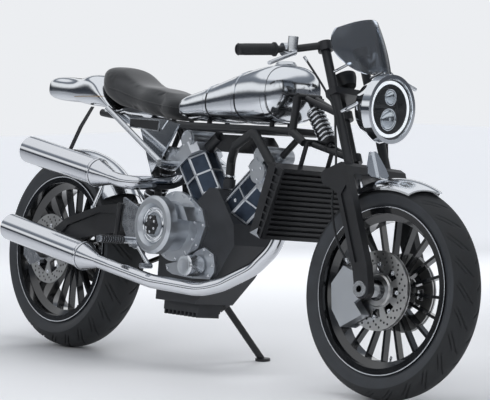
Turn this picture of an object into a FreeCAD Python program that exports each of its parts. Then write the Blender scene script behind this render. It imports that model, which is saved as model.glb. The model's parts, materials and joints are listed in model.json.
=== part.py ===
import FreeCAD, Part
import math
import os
import Sketcher
from FreeCAD import Placement, Rotation, Vector

# Cafe racer motorcycle with an open V-twin, spoked cast wheels and a girder-type fork.
# Millimetres. The pieces are drawn on an upright machine: X forward, Y to the left, Z up,
# with the origin on the ground under the rear axle. At the end all of them are leaned
# together onto the side stand, and the steered pieces are turned about the steering axis.

doc = FreeCAD.newDocument("cafe_racer")
sheet = doc.addObject("Spreadsheet::Sheet", "Sizes")

SIZES = [
    ("wheelbase", 1540, "rear axle to front axle"),
    ("lean", 6, "degrees to the left on the side stand"),
    ("steer_rest", 5, "degrees the parked steering is turned to the left"),
    ("rake", 23.4, "degrees of the steering axis from upright"),
    ("trail", 95, "steering axis ahead of the front axle, on the ground"),
    ("rear_tyre_r", 324.5, "rear tyre, outside radius"),
    ("rear_tyre_half", 80, "rear tyre, half width"),
    ("rear_crown_r", 88, "rear tyre, radius of the tread's crown"),
    ("front_tyre_r", 312.5, "front tyre, outside radius"),
    ("front_tyre_half", 60, "front tyre, half width"),
    ("front_crown_r", 66, "front tyre, radius of the tread's crown"),
    ("tyre_wall", 11, "thickness of a tyre"),
    ("rim_flange_r", 243.5, "edge of both rims"),
    ("bead_seat_r", 228.6, "bead seat of both rims"),
    ("rim_wall", 6, "thickness of a rim"),
    ("rear_rim_half", 71, "rear rim, half width over the flanges"),
    ("front_rim_half", 51, "front rim, half width over the flanges"),
    ("spoke_count", 20, "spokes of each wheel"),
    ("spoke_wide", 9, "spoke, round the wheel"),
    ("spoke_deep", 22, "spoke, across the wheel"),
    ("hub_r", 38, "hub barrel radius"),
    ("disc_seat_r", 30, "hub stub that the discs sit on"),
    ("running_gap", 0.05, "radial clearance of a bearing on its axle"),
    ("rear_axle_r", 12.5, "rear axle radius"),
    ("front_axle_r", 15, "front axle radius"),
    ("front_axle_bore_r", 10, "bore through the front axle"),
    ("disc_r", 115, "brake discs, outside radius"),
    ("disc_track", 35, "width of the ring the pads run on"),
    ("disc_thick", 5, "thickness of a disc"),
    ("front_disc_y", 61, "outer front disc, middle plane"),
    ("disc_pitch", 10, "outer to inner front disc"),
    ("rear_disc_y", 106, "rear disc, middle plane, on the right"),
    ("sprocket_y", 95, "rear sprocket and chain, middle plane, on the left"),
    ("sprocket_r", 92, "rear sprocket over its teeth"),
    ("drive_sprocket_r", 40, "chain loop round the gearbox end"),
    ("bobbin_hole_r", 3.4, "threaded hole for a paddock stand bobbin, at its crests"),
    ("chain_high", 12, "height of the chain"),
    ("chain_wide", 15, "width of the chain"),
    ("pivot_x", 506, "swingarm pivot, forward, at the drawn wheelbase"),
    ("pivot_z", 457, "swingarm pivot, up"),
    ("pivot_r", 15, "swingarm pivot shaft"),
    ("arm_in", 112, "swingarm, inner face of the left arm"),
    ("arm_out", 136, "swingarm, outer face of the left arm"),
    ("crank_x", 790, "crankshaft, forward, at the drawn wheelbase"),
    ("crank_z", 450, "crankshaft, up"),
    ("front_bank", 50, "degrees the front cylinder leans forward"),
    ("rear_bank", 38, "degrees the rear cylinder leans back"),
    ("bank_shift", 12, "middle of both cylinders, to the right"),
    ("bank_offset", 4, "sideways offset of each cylinder from that"),
    ("barrel_foot", 100, "crankshaft to the foot of a barrel"),
    ("barrel_top", 244, "crankshaft to the top of a barrel"),
    ("head_top", 330, "crankshaft to the top of a cylinder head"),
    ("barrel_deep", 130, "barrel, fore and aft"),
    ("barrel_wide", 124, "barrel, across"),
    ("barrel_chamfer", 40, "corner of a barrel"),
    ("edge_rib", 9, "width of the ribs along a barrel"),
    ("cam_r", 30, "cam box radius"),
    ("cam_spread", 46, "cam boxes to either side of the bore"),
    ("cam_half", 54, "cam box, half length"),
    ("case_left", 75, "engine case, left face"),
    ("case_right", 80, "engine case, right face"),
    ("clutch_back", 150, "clutch behind the crankshaft"),
    ("clutch_drop", 10, "clutch below the crankshaft"),
    ("drum_r", 91, "clutch drum radius"),
    ("drum_face", 190, "clutch drum, outer face"),
    ("cover_flange_r", 110, "flange of the clutch cover"),
    ("filter_r", 33, "oil filter radius"),
    ("filter_end", 152, "oil filter, outer end"),
    ("radiator_half", 165, "radiator, half width of the core"),
    ("radiator_high", 222, "radiator, height"),
    ("radiator_thick", 55, "radiator, thickness"),
    ("radiator_tilt", 17, "degrees the radiator's top leans forward"),
    ("tank_low_z", 777, "underside of the tank"),
    ("silencer_r", 44, "silencer radius"),
    ("pipe_r", 22, "exhaust pipe radius"),
    ("frame_tube_r", 12, "frame tube radius"),
    ("rail_y", 76, "frame tubes, sideways"),
    ("blade_in", 104, "fork blade, inner face"),
    ("blade_out", 130, "fork blade, outer face"),
    ("blade_deep", 55, "fork blade, fore and aft"),
    ("crown_low", 664, "underside of the fork crown, along the steering axis"),
    ("crown_thick", 40, "thickness of the fork crown"),
    ("column_y", 80, "slender fork columns, sideways"),
    ("column_r", 14, "slender fork column radius"),
    ("column_x", 47, "fork blades and columns ahead of the steering axis"),
    ("column_top", 1092, "top of the columns, along the steering axis"),
    ("bridge_low", 922, "underside of the upper bridge"),
    ("stem_r", 12, "steering stem radius"),
    ("bar_r", 11, "handlebar tube radius"),
    ("grip_r", 17, "grip radius"),
    ("grip_long", 125, "grip length"),
    ("lamp_r", 102.5, "headlamp bezel radius"),
    ("glass_r", 89, "headlamp glass radius"),
    ("lamp_back", 85, "headlamp bezel behind the front axle"),
    ("lamp_z", 838, "headlamp centre, up"),
    ("guard_gap", 13, "tyre to front mudguard"),
    ("stand_pivot_x", 655, "side stand pivot, forward"),
    ("stand_pivot_y", 118, "side stand pivot, sideways"),
    ("stand_pivot_z", 205, "side stand pivot, up"),
    ("foot_x", 690, "stand foot on the ground, forward"),
    ("foot_y", 272, "stand foot on the ground, sideways"),
]
for row, (alias, value, meaning) in enumerate(SIZES, 1):
    sheet.set(f"A{row}", meaning)
    sheet.set(f"B{row}", str(value))
    sheet.setAlias(f"B{row}", alias)
doc.recompute()


class Size:
    """A number together with the sheet formula that gives it."""

    def __init__(self, value, text):
        self.value = float(value)
        self.text = text

    def mixed(self, sign, other, swapped=False):
        other = size(other)
        first, second = (other, self) if swapped else (self, other)
        result = {
            "+": lambda: first.value + second.value,
            "-": lambda: first.value - second.value,
            "*": lambda: first.value * second.value,
            "/": lambda: first.value / second.value,
        }[sign]()
        return Size(result, f"({first.text} {sign} {second.text})")

    def __add__(self, other):
        return self.mixed("+", other)

    def __radd__(self, other):
        return self.mixed("+", other, True)

    def __sub__(self, other):
        return self.mixed("-", other)

    def __rsub__(self, other):
        return self.mixed("-", other, True)

    def __mul__(self, other):
        return self.mixed("*", other)

    def __rmul__(self, other):
        return self.mixed("*", other, True)

    def __truediv__(self, other):
        return self.mixed("/", other)

    def __neg__(self):
        return self.mixed("*", -1, True)

    def __float__(self):
        return self.value


def size(value):
    return value if isinstance(value, Size) else Size(value, repr(float(value)))


def square_root(value):
    value = size(value)
    return Size(math.sqrt(value.value), f"sqrt({value.text})")


def sine(degrees):
    degrees = size(degrees)
    return Size(math.sin(math.radians(degrees.value)), f"sin({degrees.text})")


def cosine(degrees):
    degrees = size(degrees)
    return Size(math.cos(math.radians(degrees.value)), f"cos({degrees.text})")


class NamedSizes:
    def __getattr__(self, alias):
        return Size(sheet.get(alias), "Sizes." + alias)


S = NamedSizes()
X_AXIS, Y_AXIS, Z_AXIS = Vector(1, 0, 0), Vector(0, 1, 0), Vector(0, 0, 1)


# Sketches and features, all of them bound to the sheet.


def new_body(name):
    return doc.addObject("PartDesign::Body", name)


def new_sketch(body, name, plane, lift=0):
    sketch = body.newObject("Sketcher::SketchObject", name)
    role = plane + "_Plane"
    sketch.AttachmentSupport = [(next(f for f in body.Origin.OriginFeatures if f.Role == role), "")]
    sketch.MapMode = "FlatFace"
    sketch.AttachmentOffset = Placement(Vector(0, 0, float(lift)), Rotation())
    sketch.setExpression("AttachmentOffset.Base.z", size(lift).text)
    sketch.Visibility = False
    return sketch


def fix(sketch, kind, *where, value):
    index = sketch.addConstraint(Sketcher.Constraint(kind, *where, float(value)))
    if isinstance(value, Size):
        sketch.setExpression(f"Constraints[{index}]", value.text)


def draw_outline(sketch, corners):
    """A closed outline. A corner's third number makes the edge that arrives there an arc,
    which bulges to the left of the way round if it is positive."""
    first = sketch.GeometryCount
    count = len(corners)
    points = [Vector(float(c[0]), float(c[1]), 0) for c in corners]
    ends = []
    for i in range(count):
        a, b = points[i], points[(i + 1) % count]
        arriving = corners[(i + 1) % count]
        if len(arriving) == 2:
            sketch.addGeometry(Part.LineSegment(a, b), False)
            ends.append((1, 2))
            continue
        radius, side = abs(float(arriving[2])), math.copysign(1, float(arriving[2]))
        heading = (b - a).normalize()
        left = Vector(-heading.y, heading.x, 0) * side
        centre = (a + b) * 0.5 - left * math.sqrt(radius ** 2 - ((b - a).Length / 2) ** 2)
        begin, finish = (b, a) if side > 0 else (a, b)
        angles = [math.atan2(p.y - centre.y, p.x - centre.x) for p in (begin, finish)]
        if angles[1] < angles[0]:
            angles[1] += 2 * math.pi
        sketch.addGeometry(Part.ArcOfCircle(Part.Circle(centre, Z_AXIS, radius), *angles), False)
        ends.append((2, 1) if side > 0 else (1, 2))
    for i in range(count):
        follower = (i + 1) % count
        sketch.addConstraint(Sketcher.Constraint(
            "Coincident", first + i, ends[i][1], first + follower, ends[follower][0]))
    for i in range(count):
        fix(sketch, "DistanceX", -1, 1, first + i, ends[i][0], value=corners[i][0])
        fix(sketch, "DistanceY", -1, 1, first + i, ends[i][0], value=corners[i][1])
        arriving = corners[(i + 1) % count]
        if len(arriving) == 3:
            radius = arriving[2]
            fix(sketch, "Radius", first + i, value=radius if float(radius) > 0 else -radius)


def draw_circle(sketch, x, y, radius):
    index = sketch.addGeometry(
        Part.Circle(Vector(float(x), float(y), 0), Z_AXIS, float(radius)), False)
    fix(sketch, "DistanceX", -1, 1, index, 3, value=x)
    fix(sketch, "DistanceY", -1, 1, index, 3, value=y)
    fix(sketch, "Radius", index, value=radius)


def draw_box(sketch, x0, y0, x1, y1):
    draw_outline(sketch, [(x0, y0), (x1, y0), (x1, y1), (x0, y1)])


def extrude(body, kind, sketch, length, midplane=False, reverse=False):
    feature = body.newObject("PartDesign::" + kind, sketch.Name + "_" + kind.lower())
    feature.Profile = sketch
    feature.Length = float(length)
    feature.setExpression("Length", size(length).text)
    feature.Midplane = midplane
    feature.Reversed = reverse
    return feature


def turn(body, kind, sketch, axis="H_Axis", angle=360):
    feature = body.newObject("PartDesign::" + kind, sketch.Name + "_" + kind.lower())
    feature.Profile = sketch
    feature.ReferenceAxis = (sketch, [axis])
    feature.Angle = float(angle)
    feature.setExpression("Angle", size(angle).text)
    return feature


def repeat_round(body, feature, sketch, count, axis="N_Axis"):
    pattern = body.newObject("PartDesign::PolarPattern", feature.Name + "_round")
    pattern.Originals = [feature]
    pattern.Axis = (sketch, [axis])
    pattern.Angle = 360
    pattern.Occurrences = int(float(count))
    if isinstance(count, Size):
        pattern.setExpression("Occurrences", count.text)
    body.Tip = pattern
    return pattern


def side_plate(body, name, corners, left_y, right_y, kind="Pad"):
    """A plate or cut with an outline in side view, from left_y down to right_y."""
    sketch = new_sketch(body, name, "XZ", -size(left_y))
    draw_outline(sketch, corners)
    return extrude(body, kind, sketch, size(left_y) - right_y, reverse=kind == "Pocket")


def side_disc(body, name, x, z, radius, left_y, right_y, kind="Pad"):
    sketch = new_sketch(body, name, "XZ", -size(left_y))
    draw_circle(sketch, x, z, radius)
    return extrude(body, kind, sketch, size(left_y) - right_y, reverse=kind == "Pocket")


# Plain solids, rods and swept tubes.


def direction_turn(direction):
    return Rotation(Z_AXIS, Vector(direction))


def rod(name, start, end, radius):
    start, end = Vector(*map(float, start)), Vector(*map(float, end))
    cylinder = doc.addObject("Part::Cylinder", name)
    cylinder.Radius = float(radius)
    cylinder.setExpression("Radius", size(radius).text)
    cylinder.Height = (end - start).Length
    cylinder.Placement = Placement(start, direction_turn(end - start))
    return cylinder


def block(name, low, high):
    solid = doc.addObject("Part::Box", name)
    for prop, a, b in zip(("Length", "Width", "Height"), low, high):
        span = size(b) - a
        setattr(solid, prop, float(span))
        solid.setExpression(prop, span.text)
    solid.Placement = Placement(Vector(*map(float, low)), Rotation())
    return solid


def fused(name, pieces):
    whole = doc.addObject("Part::MultiFuse", name)
    whole.Shapes = pieces
    return whole


def cut(name, base, tool):
    result = doc.addObject("Part::Cut", name)
    result.Base = base
    result.Tool = tool
    return result


def together(name, pieces):
    whole = doc.addObject("Part::Compound", name)
    whole.Links = pieces
    return whole


def mirrored(piece):
    other = doc.addObject("Part::Mirroring", piece.Name + "_other_side")
    other.Source = piece
    other.Normal = Y_AXIS
    return other


def pair(name, piece):
    return together(name, [piece, mirrored(piece)])


def shaped(name, shape):
    feature = doc.addObject("Part::Feature", name)
    feature.Shape = shape
    return feature


def vectors(points):
    return [Vector(*map(float, point)) for point in points]


def bent_tube(points, radius, bends):
    """A round tube along straight runs, with a bend radius for each corner or one for all."""
    places = vectors(points)
    if not isinstance(bends, list):
        bends = [bends] * (len(places) - 2)
    edges = []
    start = places[0]
    for before, corner, after, bend in zip(places, places[1:], places[2:], bends):
        incoming, outgoing = (corner - before).normalize(), (after - corner).normalize()
        half_turn = incoming.getAngle(outgoing) / 2
        reach = bend * math.tan(half_turn)
        enter, leave = corner - incoming * reach, corner + outgoing * reach
        middle = corner + (outgoing - incoming).normalize() * bend * (1 / math.cos(half_turn) - 1)
        edges.append(Part.LineSegment(start, enter).toShape())
        edges.append(Part.Arc(enter, middle, leave).toShape())
        start = leave
    edges.append(Part.LineSegment(start, places[-1]).toShape())
    heading = (places[1] - places[0]).normalize()
    circle = Part.Wire([Part.Circle(places[0], heading, float(radius)).toShape()])
    return Part.Wire(edges).makePipeShell([circle], True, False)


def superellipse(half_wide, half_high, power, centre, count=24):
    """Points of a rounded box in the YZ plane: power 2 is an ellipse, higher is squarer."""
    ring = []
    for i in range(count):
        angle = 2 * math.pi * (i + 0.5) / count
        c, s = math.cos(angle), math.sin(angle)
        ring.append(Vector(
            centre.x,
            centre.y + half_wide * math.copysign(abs(c) ** (2 / power), c),
            centre.z + half_high * math.copysign(abs(s) ** (2 / power), s)))
    return ring


def closed_wire(points):
    curve = Part.BSplineCurve()
    curve.interpolate(points, PeriodicFlag=True)
    return Part.Wire([curve.toShape()])


def lofted(stations, power):
    """A skin through upright sections given as x, half width, underside z and top z."""
    wires = []
    for x, half_wide, low, high in stations:
        centre = Vector(float(along(x)), 0, (float(low) + float(high)) / 2)
        wires.append(closed_wire(superellipse(
            float(half_wide), (float(high) - float(low)) / 2, power, centre)))
    return Part.makeLoft(wires, True, False)


# Places of the axes. What lies along the machine is drawn for one wheelbase and stretches with it.

DRAWN_WHEELBASE = 1540


def along(x):
    return S.wheelbase * x / DRAWN_WHEELBASE


PIVOT_X, CRANK_X = along(S.pivot_x), along(S.crank_x)
CROWN_TOP = S.crown_low + S.crown_thick
LAMP_X = S.wheelbase - S.lamp_back
rake, lean = math.radians(float(S.rake)), math.radians(float(S.lean))
steer_axis = Vector(-math.sin(rake), 0, math.cos(rake))
steer_foot = Vector(float(S.wheelbase + S.trail), 0, 0)
front_centre = Vector(float(S.wheelbase), 0, float(S.front_tyre_r))
rear_centre = Vector(0, 0, float(S.rear_tyre_r))
STEER_FRAME = Placement(steer_foot, Rotation(Y_AXIS, -float(S.rake)))
STEERED = Placement(Vector(), Rotation(steer_axis, float(S.steer_rest)), steer_foot)


def lowest(placement, centre, radius, crown_r):
    middle = placement.multVec(centre)
    axle = placement.Rotation.multVec(Y_AXIS)
    return middle.z - float(radius - crown_r) * math.sqrt(1 - axle.z ** 2) - float(crown_r)


def parked_placement():
    """Leans the machine, then pitches and lifts it until both tyres meet the ground."""
    pitch, rise = 0.0, 0.0
    for _ in range(12):
        turned = Rotation(Y_AXIS, pitch) * Rotation(X_AXIS, -float(S.lean))
        placement = Placement(Vector(0, 0, rise), turned)
        rear = lowest(placement, rear_centre, S.rear_tyre_r, S.rear_crown_r)
        front = lowest(placement * STEERED, front_centre, S.front_tyre_r, S.front_crown_r)
        rise -= rear
        pitch += math.degrees((front - rear) / float(S.wheelbase))
    return placement


PARKED = parked_placement()
nodes = []


def keep(piece, label, local=None, steered=False):
    """Files a finished sub-part under its label, placed on the parked machine."""
    piece.Label = label
    if local is None:
        local = Placement()
    piece.Placement = PARKED * STEERED * local if steered else PARKED * local
    nodes.append(piece)
    return piece


def at(x, y, z, axis=None, degrees=0):
    turned = Rotation(axis, float(degrees)) if axis is not None else Rotation()
    return Placement(Vector(float(x), float(y), float(z)), turned)


REAR_AXLE = at(0, 0, S.rear_tyre_r)
FRONT_AXLE = at(S.wheelbase, 0, S.front_tyre_r)


# Wheels. Each is turned about its axle: tyre, cast rim with spokes, discs.


def build_tyre(name, radius, half, crown_r, rim_half):
    body = new_body(name)
    section = new_sketch(body, name + "_section", "YZ")
    edge = half - 3
    edge_r = radius - crown_r + square_root(crown_r * crown_r - edge * edge)
    inner_crown = crown_r - S.tyre_wall
    inner = edge - S.tyre_wall
    inner_r = radius - S.tyre_wall - inner_crown + square_root(inner_crown * inner_crown - inner * inner)
    bead = rim_half - S.rim_wall
    toe = bead - 13
    bead_top = S.rim_flange_r + 0.5
    draw_outline(section, [
        (-edge, edge_r, 62), (edge, edge_r, crown_r), (bead, bead_top, 62), (bead, S.bead_seat_r),
        (toe, S.bead_seat_r), (toe, bead_top), (inner, inner_r, -50), (-inner, inner_r, -inner_crown),
        (-toe, bead_top, -50), (-toe, S.bead_seat_r), (-bead, S.bead_seat_r), (-bead, bead_top)])
    turn(body, "Revolution", section)
    return body


def build_rim(name, rim_half, axle_r, hub_left, hub_right, stub_left, stub_right):
    body = new_body(name)
    rim = new_sketch(body, name + "_section", "YZ")
    wall, flange_r, seat_r = S.rim_wall, S.rim_flange_r, S.bead_seat_r
    well_r = seat_r - 20
    ledge, well = rim_half * 0.55, rim_half * 0.35
    draw_outline(rim, [
        (-rim_half, flange_r), (-rim_half + wall, flange_r), (-rim_half + wall, seat_r),
        (-ledge, seat_r), (-well, well_r), (well, well_r), (ledge, seat_r),
        (rim_half - wall, seat_r), (rim_half - wall, flange_r), (rim_half, flange_r),
        (rim_half, seat_r - wall), (ledge + 3, seat_r - wall), (well + 3, well_r - wall),
        (-well - 3, well_r - wall), (-ledge - 3, seat_r - wall), (-rim_half, seat_r - wall)])
    turn(body, "Revolution", rim)
    hub = new_sketch(body, name + "_hub", "YZ")
    bore_r = axle_r + S.running_gap
    draw_outline(hub, [
        (-stub_right, bore_r), (stub_left, bore_r), (stub_left, S.disc_seat_r),
        (hub_left, S.disc_seat_r), (hub_left, S.hub_r), (-hub_right, S.hub_r),
        (-hub_right, S.disc_seat_r), (-stub_right, S.disc_seat_r)])
    spoke = new_sketch(body, name + "_spoke", "XZ")
    draw_box(spoke, -S.spoke_wide / 2, S.hub_r - 5, S.spoke_wide / 2, well_r - 3)
    arm = extrude(body, "Pad", spoke, S.spoke_deep, midplane=True)
    repeat_round(body, arm, spoke, S.spoke_count)
    turn(body, "Revolution", hub)
    return body


def disc_windows(body, name, inner_r, outer_r, left_y, deep, count):
    window = new_sketch(body, name, "XZ", -size(left_y))
    middle = (inner_r + outer_r) / 2
    half = middle * (math.tan(math.pi / count) * 0.66)
    draw_outline(window, [(inner_r, -half * 0.75), (outer_r, -half), (outer_r, half), (inner_r, half * 0.75)])
    return repeat_round(body, extrude(body, "Pocket", window, deep, reverse=True), window, count)


keep(build_tyre("rear_tyre_turned", S.rear_tyre_r, S.rear_tyre_half, S.rear_crown_r, S.rear_rim_half),
     "rear_tyre", REAR_AXLE)
keep(build_tyre("front_tyre_turned", S.front_tyre_r, S.front_tyre_half, S.front_crown_r, S.front_rim_half),
     "front_tyre", FRONT_AXLE, steered=True)
rear_stub = S.rear_disc_y + S.disc_thick / 2
keep(build_rim("rear_wheel_cast", S.rear_rim_half, S.rear_axle_r, S.sprocket_y - 4, S.rear_disc_y - 3,
               S.sprocket_y + 4, rear_stub), "rear_rim", REAR_AXLE)
front_carrier = S.front_disc_y - S.disc_pitch - 4
front_stub = S.front_disc_y + 5
keep(build_rim("front_wheel_cast", S.front_rim_half, S.front_axle_r, front_carrier, front_carrier,
               front_stub, front_stub), "front_rim", FRONT_AXLE, steered=True)


def build_front_discs():
    body = new_body("front_disc_side")
    section = new_sketch(body, "front_disc_section", "YZ")
    outer, half = S.front_disc_y, S.disc_thick / 2
    inner = outer - S.disc_pitch
    track_r = S.disc_r - S.disc_track
    web_r = track_r + 8
    draw_outline(section, [
        (front_carrier, S.disc_seat_r), (outer + 3, S.disc_seat_r), (outer + 3, 44), (outer - half, 48),
        (outer - half, track_r), (outer + half, track_r), (outer + half, S.disc_r),
        (outer - half, S.disc_r), (outer - half, web_r), (inner + half, web_r),
        (inner + half, S.disc_r), (inner - half, S.disc_r), (inner - half, track_r),
        (inner + half, track_r), (inner + half, 48), (front_carrier, 44)])
    turn(body, "Revolution", section)
    disc_windows(body, "front_disc_window", size(52), track_r - 5, outer + 20, 50, 8)
    return pair("front_disc_pair", body)


keep(build_front_discs(), "front_discs", FRONT_AXLE, steered=True)


def build_rear_disc():
    body = new_body("rear_disc_turned")
    half = S.disc_thick / 2
    side_disc(body, "rear_disc_blank", 0, 0, S.disc_r, half - S.rear_disc_y, -half - S.rear_disc_y)
    side_disc(body, "rear_disc_seat", 0, 0, S.disc_seat_r, 10 - S.rear_disc_y, -20 - S.rear_disc_y, "Pocket")
    disc_windows(body, "rear_disc_window", size(42), S.disc_r - S.disc_track, 10 - S.rear_disc_y, 30, 6)
    return body


keep(build_rear_disc(), "rear_disc", REAR_AXLE)


CHAIN_LIFT, ROLLER_INSET = 2, 1.5


def build_sprocket():
    body = new_body("sprocket_plate")
    blank_r = S.sprocket_r + CHAIN_LIFT + ROLLER_INSET
    side_disc(body, "sprocket_blank", 0, 0, blank_r, S.sprocket_y + 3, S.sprocket_y - 3)
    side_disc(body, "sprocket_seat", 0, 0, S.disc_seat_r, S.sprocket_y + 10, S.sprocket_y - 20, "Pocket")
    disc_windows(body, "sprocket_window", size(44), S.sprocket_r - 18, S.sprocket_y + 10, 30, 5)
    return body


keep(build_sprocket(), "rear_sprocket", REAR_AXLE)


def build_axle(name, radius, inner_left, inner_right, end_left, end_right, bore_r=None):
    """An axle with a spacer collar on each side of the hub and a head at each end."""
    body = new_body(name)
    section = new_sketch(body, name + "_section", "YZ")
    collar, head = radius + 7, radius + 8
    low = size(0.0) if bore_r is None else bore_r
    draw_outline(section, [
        (-end_right - 10, low), (end_left + 10, low), (end_left + 10, head), (end_left, head),
        (end_left, radius), (S.arm_in if bore_r is None else S.blade_in, radius),
        (S.arm_in if bore_r is None else S.blade_in, collar), (inner_left, collar), (inner_left, radius),
        (-inner_right, radius), (-inner_right, collar),
        (-S.arm_in - 6 if bore_r is None else -S.blade_in, collar),
        (-S.arm_in - 6 if bore_r is None else -S.blade_in, radius),
        (-end_right, radius), (-end_right, head), (-end_right - 10, head)])
    turn(body, "Revolution", section)
    return body


keep(build_axle("rear_axle_turned", S.rear_axle_r, S.sprocket_y + 5, rear_stub + 1, S.arm_out, S.arm_out + 6),
     "rear_axle", REAR_AXLE)
keep(build_axle("front_axle_turned", S.front_axle_r, front_stub + 1, front_stub + 1, S.blade_out,
                S.blade_out, S.front_axle_bore_r), "front_axle", FRONT_AXLE, steered=True)


# Swingarm, chain and rear brake.

BRIDGE_REAR = S.rear_tyre_r + 18
BRIDGE_FRONT = PIVOT_X - 66
BOBBIN_X, BOBBIN_DROP = 38, 8


def build_swingarm():
    body = new_body("swingarm_cast")
    right = S.arm_out + 6
    x0, z0 = PIVOT_X, S.pivot_z
    boss_r, end_r = 38, 32
    axle_z = S.rear_tyre_r
    side_plate(body, "swingarm_side", [
        (x0 + boss_r, z0), (x0, z0 - boss_r, -boss_r), (along(228), 376), (0, axle_z - end_r),
        (0, axle_z + end_r, 33), (along(125), 432), (along(300), 482), (x0 - 60, z0 + 44),
        (x0, z0 + boss_r)], S.arm_out, -right)
    gap = new_sketch(body, "swingarm_gap", "XY", 700)
    draw_box(gap, -100, -S.arm_in - 6, BRIDGE_REAR, S.arm_in)
    extrude(body, "Pocket", gap, 700)
    waist = new_sketch(body, "swingarm_waist", "XY", 700)
    draw_box(waist, BRIDGE_FRONT, -S.arm_in - 6, 700, S.arm_in)
    extrude(body, "Pocket", waist, 700)
    slot = new_sketch(body, "swingarm_chain_slot", "XZ", -S.arm_in)
    draw_box(slot, BRIDGE_REAR - 2, 452, BRIDGE_FRONT + 2, 520)
    extrude(body, "Pocket", slot, S.arm_in - S.sprocket_y + S.chain_wide / 2 + 5, reverse=True)
    for name, face, deep in (("left", S.arm_out, 7), ("right", -right + 7, 7)):
        side_plate(body, "swingarm_recess_" + name, [
            (along(60), axle_z - 8), (along(220), 404), (along(390), 440), (along(390), 462),
            (along(300), 460), (along(135), 410), (along(60), axle_z + 22)], face, face - deep, "Pocket")
    side_disc(body, "swingarm_axle_bore", 0, axle_z, S.rear_axle_r, 200, -200, "Pocket")
    side_disc(body, "swingarm_pivot_bore", x0, z0, S.pivot_r, 200, -200, "Pocket")
    side_disc(body, "swingarm_bobbin_hole", BOBBIN_X, axle_z - BOBBIN_DROP, S.bobbin_hole_r, 200, -200, "Pocket")
    return body


keep(build_swingarm(), "swingarm")


CHAIN_PITCH = 15.875


def loop_outline(near_x, near_z, near_r, far_x, far_z, far_r):
    """Two circles joined by their outer tangents, as four corners with arcs."""
    dx, dz = float(far_x) - float(near_x), float(far_z) - float(near_z)
    span = math.hypot(dx, dz)
    tilt = math.atan2(dz, dx)
    spread = math.acos((float(near_r) - float(far_r)) / span)
    corners = []
    for x, z, r, turned in ((near_x, near_z, near_r, spread), (far_x, far_z, far_r, spread),
                            (far_x, far_z, far_r, -spread), (near_x, near_z, near_r, -spread)):
        corners.append((float(x) + float(r) * math.cos(tilt + turned),
                        float(z) + float(r) * math.sin(tilt + turned)))
    return corners


def loop_face(near, far, grow, y):
    near_x, near_z, near_r = near
    far_x, far_z, far_r = far
    a, b, c, d = [Vector(px, y, pz) for px, pz in loop_outline(
        near_x, near_z, near_r + grow, far_x, far_z, far_r + grow)]
    heading = (Vector(far_x, y, far_z) - Vector(near_x, y, near_z)).normalize()
    far_tip = Vector(far_x, y, far_z) + heading * (far_r + grow)
    near_tip = Vector(near_x, y, near_z) - heading * (near_r + grow)
    wire = Part.Wire([
        Part.LineSegment(a, b).toShape(), Part.Arc(b, far_tip, c).toShape(),
        Part.LineSegment(c, d).toShape(), Part.Arc(d, near_tip, a).toShape()])
    return Part.Face(wire)


def build_chain():
    """Two rings of side plates with six-sided rollers between them."""
    high, wide, plate = float(S.chain_high), float(S.chain_wide), 3.0
    y = float(S.sprocket_y) - wide / 2
    rear = (0.0, float(S.rear_tyre_r), float(S.sprocket_r) + CHAIN_LIFT)
    front = (float(PIVOT_X + 60), float(S.pivot_z - 10), float(S.drive_sprocket_r))
    rings = []
    for left in (y, y + wide - plate):
        ring = loop_face(rear, front, high, left).cut(loop_face(rear, front, 0.0, left))
        rings.append(ring.extrude(Vector(0, plate, 0)))
    middle = loop_face(rear, front, high / 2, y).OuterWire
    count = int(middle.Length / CHAIN_PITCH)
    for place in middle.discretize(count + 1)[:count]:
        corners = [place + Rotation(Y_AXIS, 60 * i).multVec(Vector(high * 0.36, 1, 0)) for i in range(6)]
        roller = Part.Face(Part.makePolygon(corners + corners[:1]))
        rings.append(roller.extrude(Vector(0, wide - 2, 0)))
    return shaped("chain_loop", rings[0].multiFuse(rings[1:]))


keep(build_chain(), "chain")


def build_drive_sprocket():
    body = new_body("drive_sprocket_turned")
    plate_r = S.drive_sprocket_r + ROLLER_INSET
    side_disc(body, "drive_sprocket_plate", 0, 0, plate_r, S.sprocket_y + 3, S.sprocket_y - 3)
    side_disc(body, "drive_sprocket_shaft", 0, 0, 15, S.sprocket_y + 10, S.case_left)
    return body


keep(build_drive_sprocket(), "drive_sprocket", at(PIVOT_X + 60, 0, S.pivot_z - 10))


def build_rear_caliper():
    body = new_body("rear_caliper_cast")
    face = S.arm_in + 6
    side_plate(body, "rear_caliper_outline", [
        (-20, -38), (-95, -62), (-134, -30), (-134, 34), (-95, 60), (-20, 30)], -face + 34, -face)
    side_plate(body, "rear_caliper_slot", [
        (0, -90), (-120, -90), (-120, 90), (0, 90)], -face + 27, -face + 7, "Pocket")
    side_plate(body, "rear_caliper_trim", [
        (0, -90), (-62, -90), (-62, 90), (0, 90)], -face + 40, -face + 6, "Pocket")
    side_disc(body, "rear_caliper_eye", 0, 0, S.rear_axle_r + 20, -face + 6, -face)
    side_disc(body, "rear_caliper_bore", 0, 0, S.rear_axle_r + 7, -face + 40, -face - 20, "Pocket")
    return body


keep(build_rear_caliper(), "rear_caliper", REAR_AXLE)


# Engine.

HOSE_X, HOSE_Y, HOSE_RISE = 16, -24, 150


FRONT_Y, REAR_Y = S.bank_offset - S.bank_shift, -S.bank_offset - S.bank_shift


def bank_point(degrees, across, up):
    """Side-view place in a cylinder's own directions, up its bore and across it."""
    return (CRANK_X + up * sine(degrees) + across * cosine(degrees),
            S.crank_z + up * cosine(degrees) - across * sine(degrees))


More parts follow.
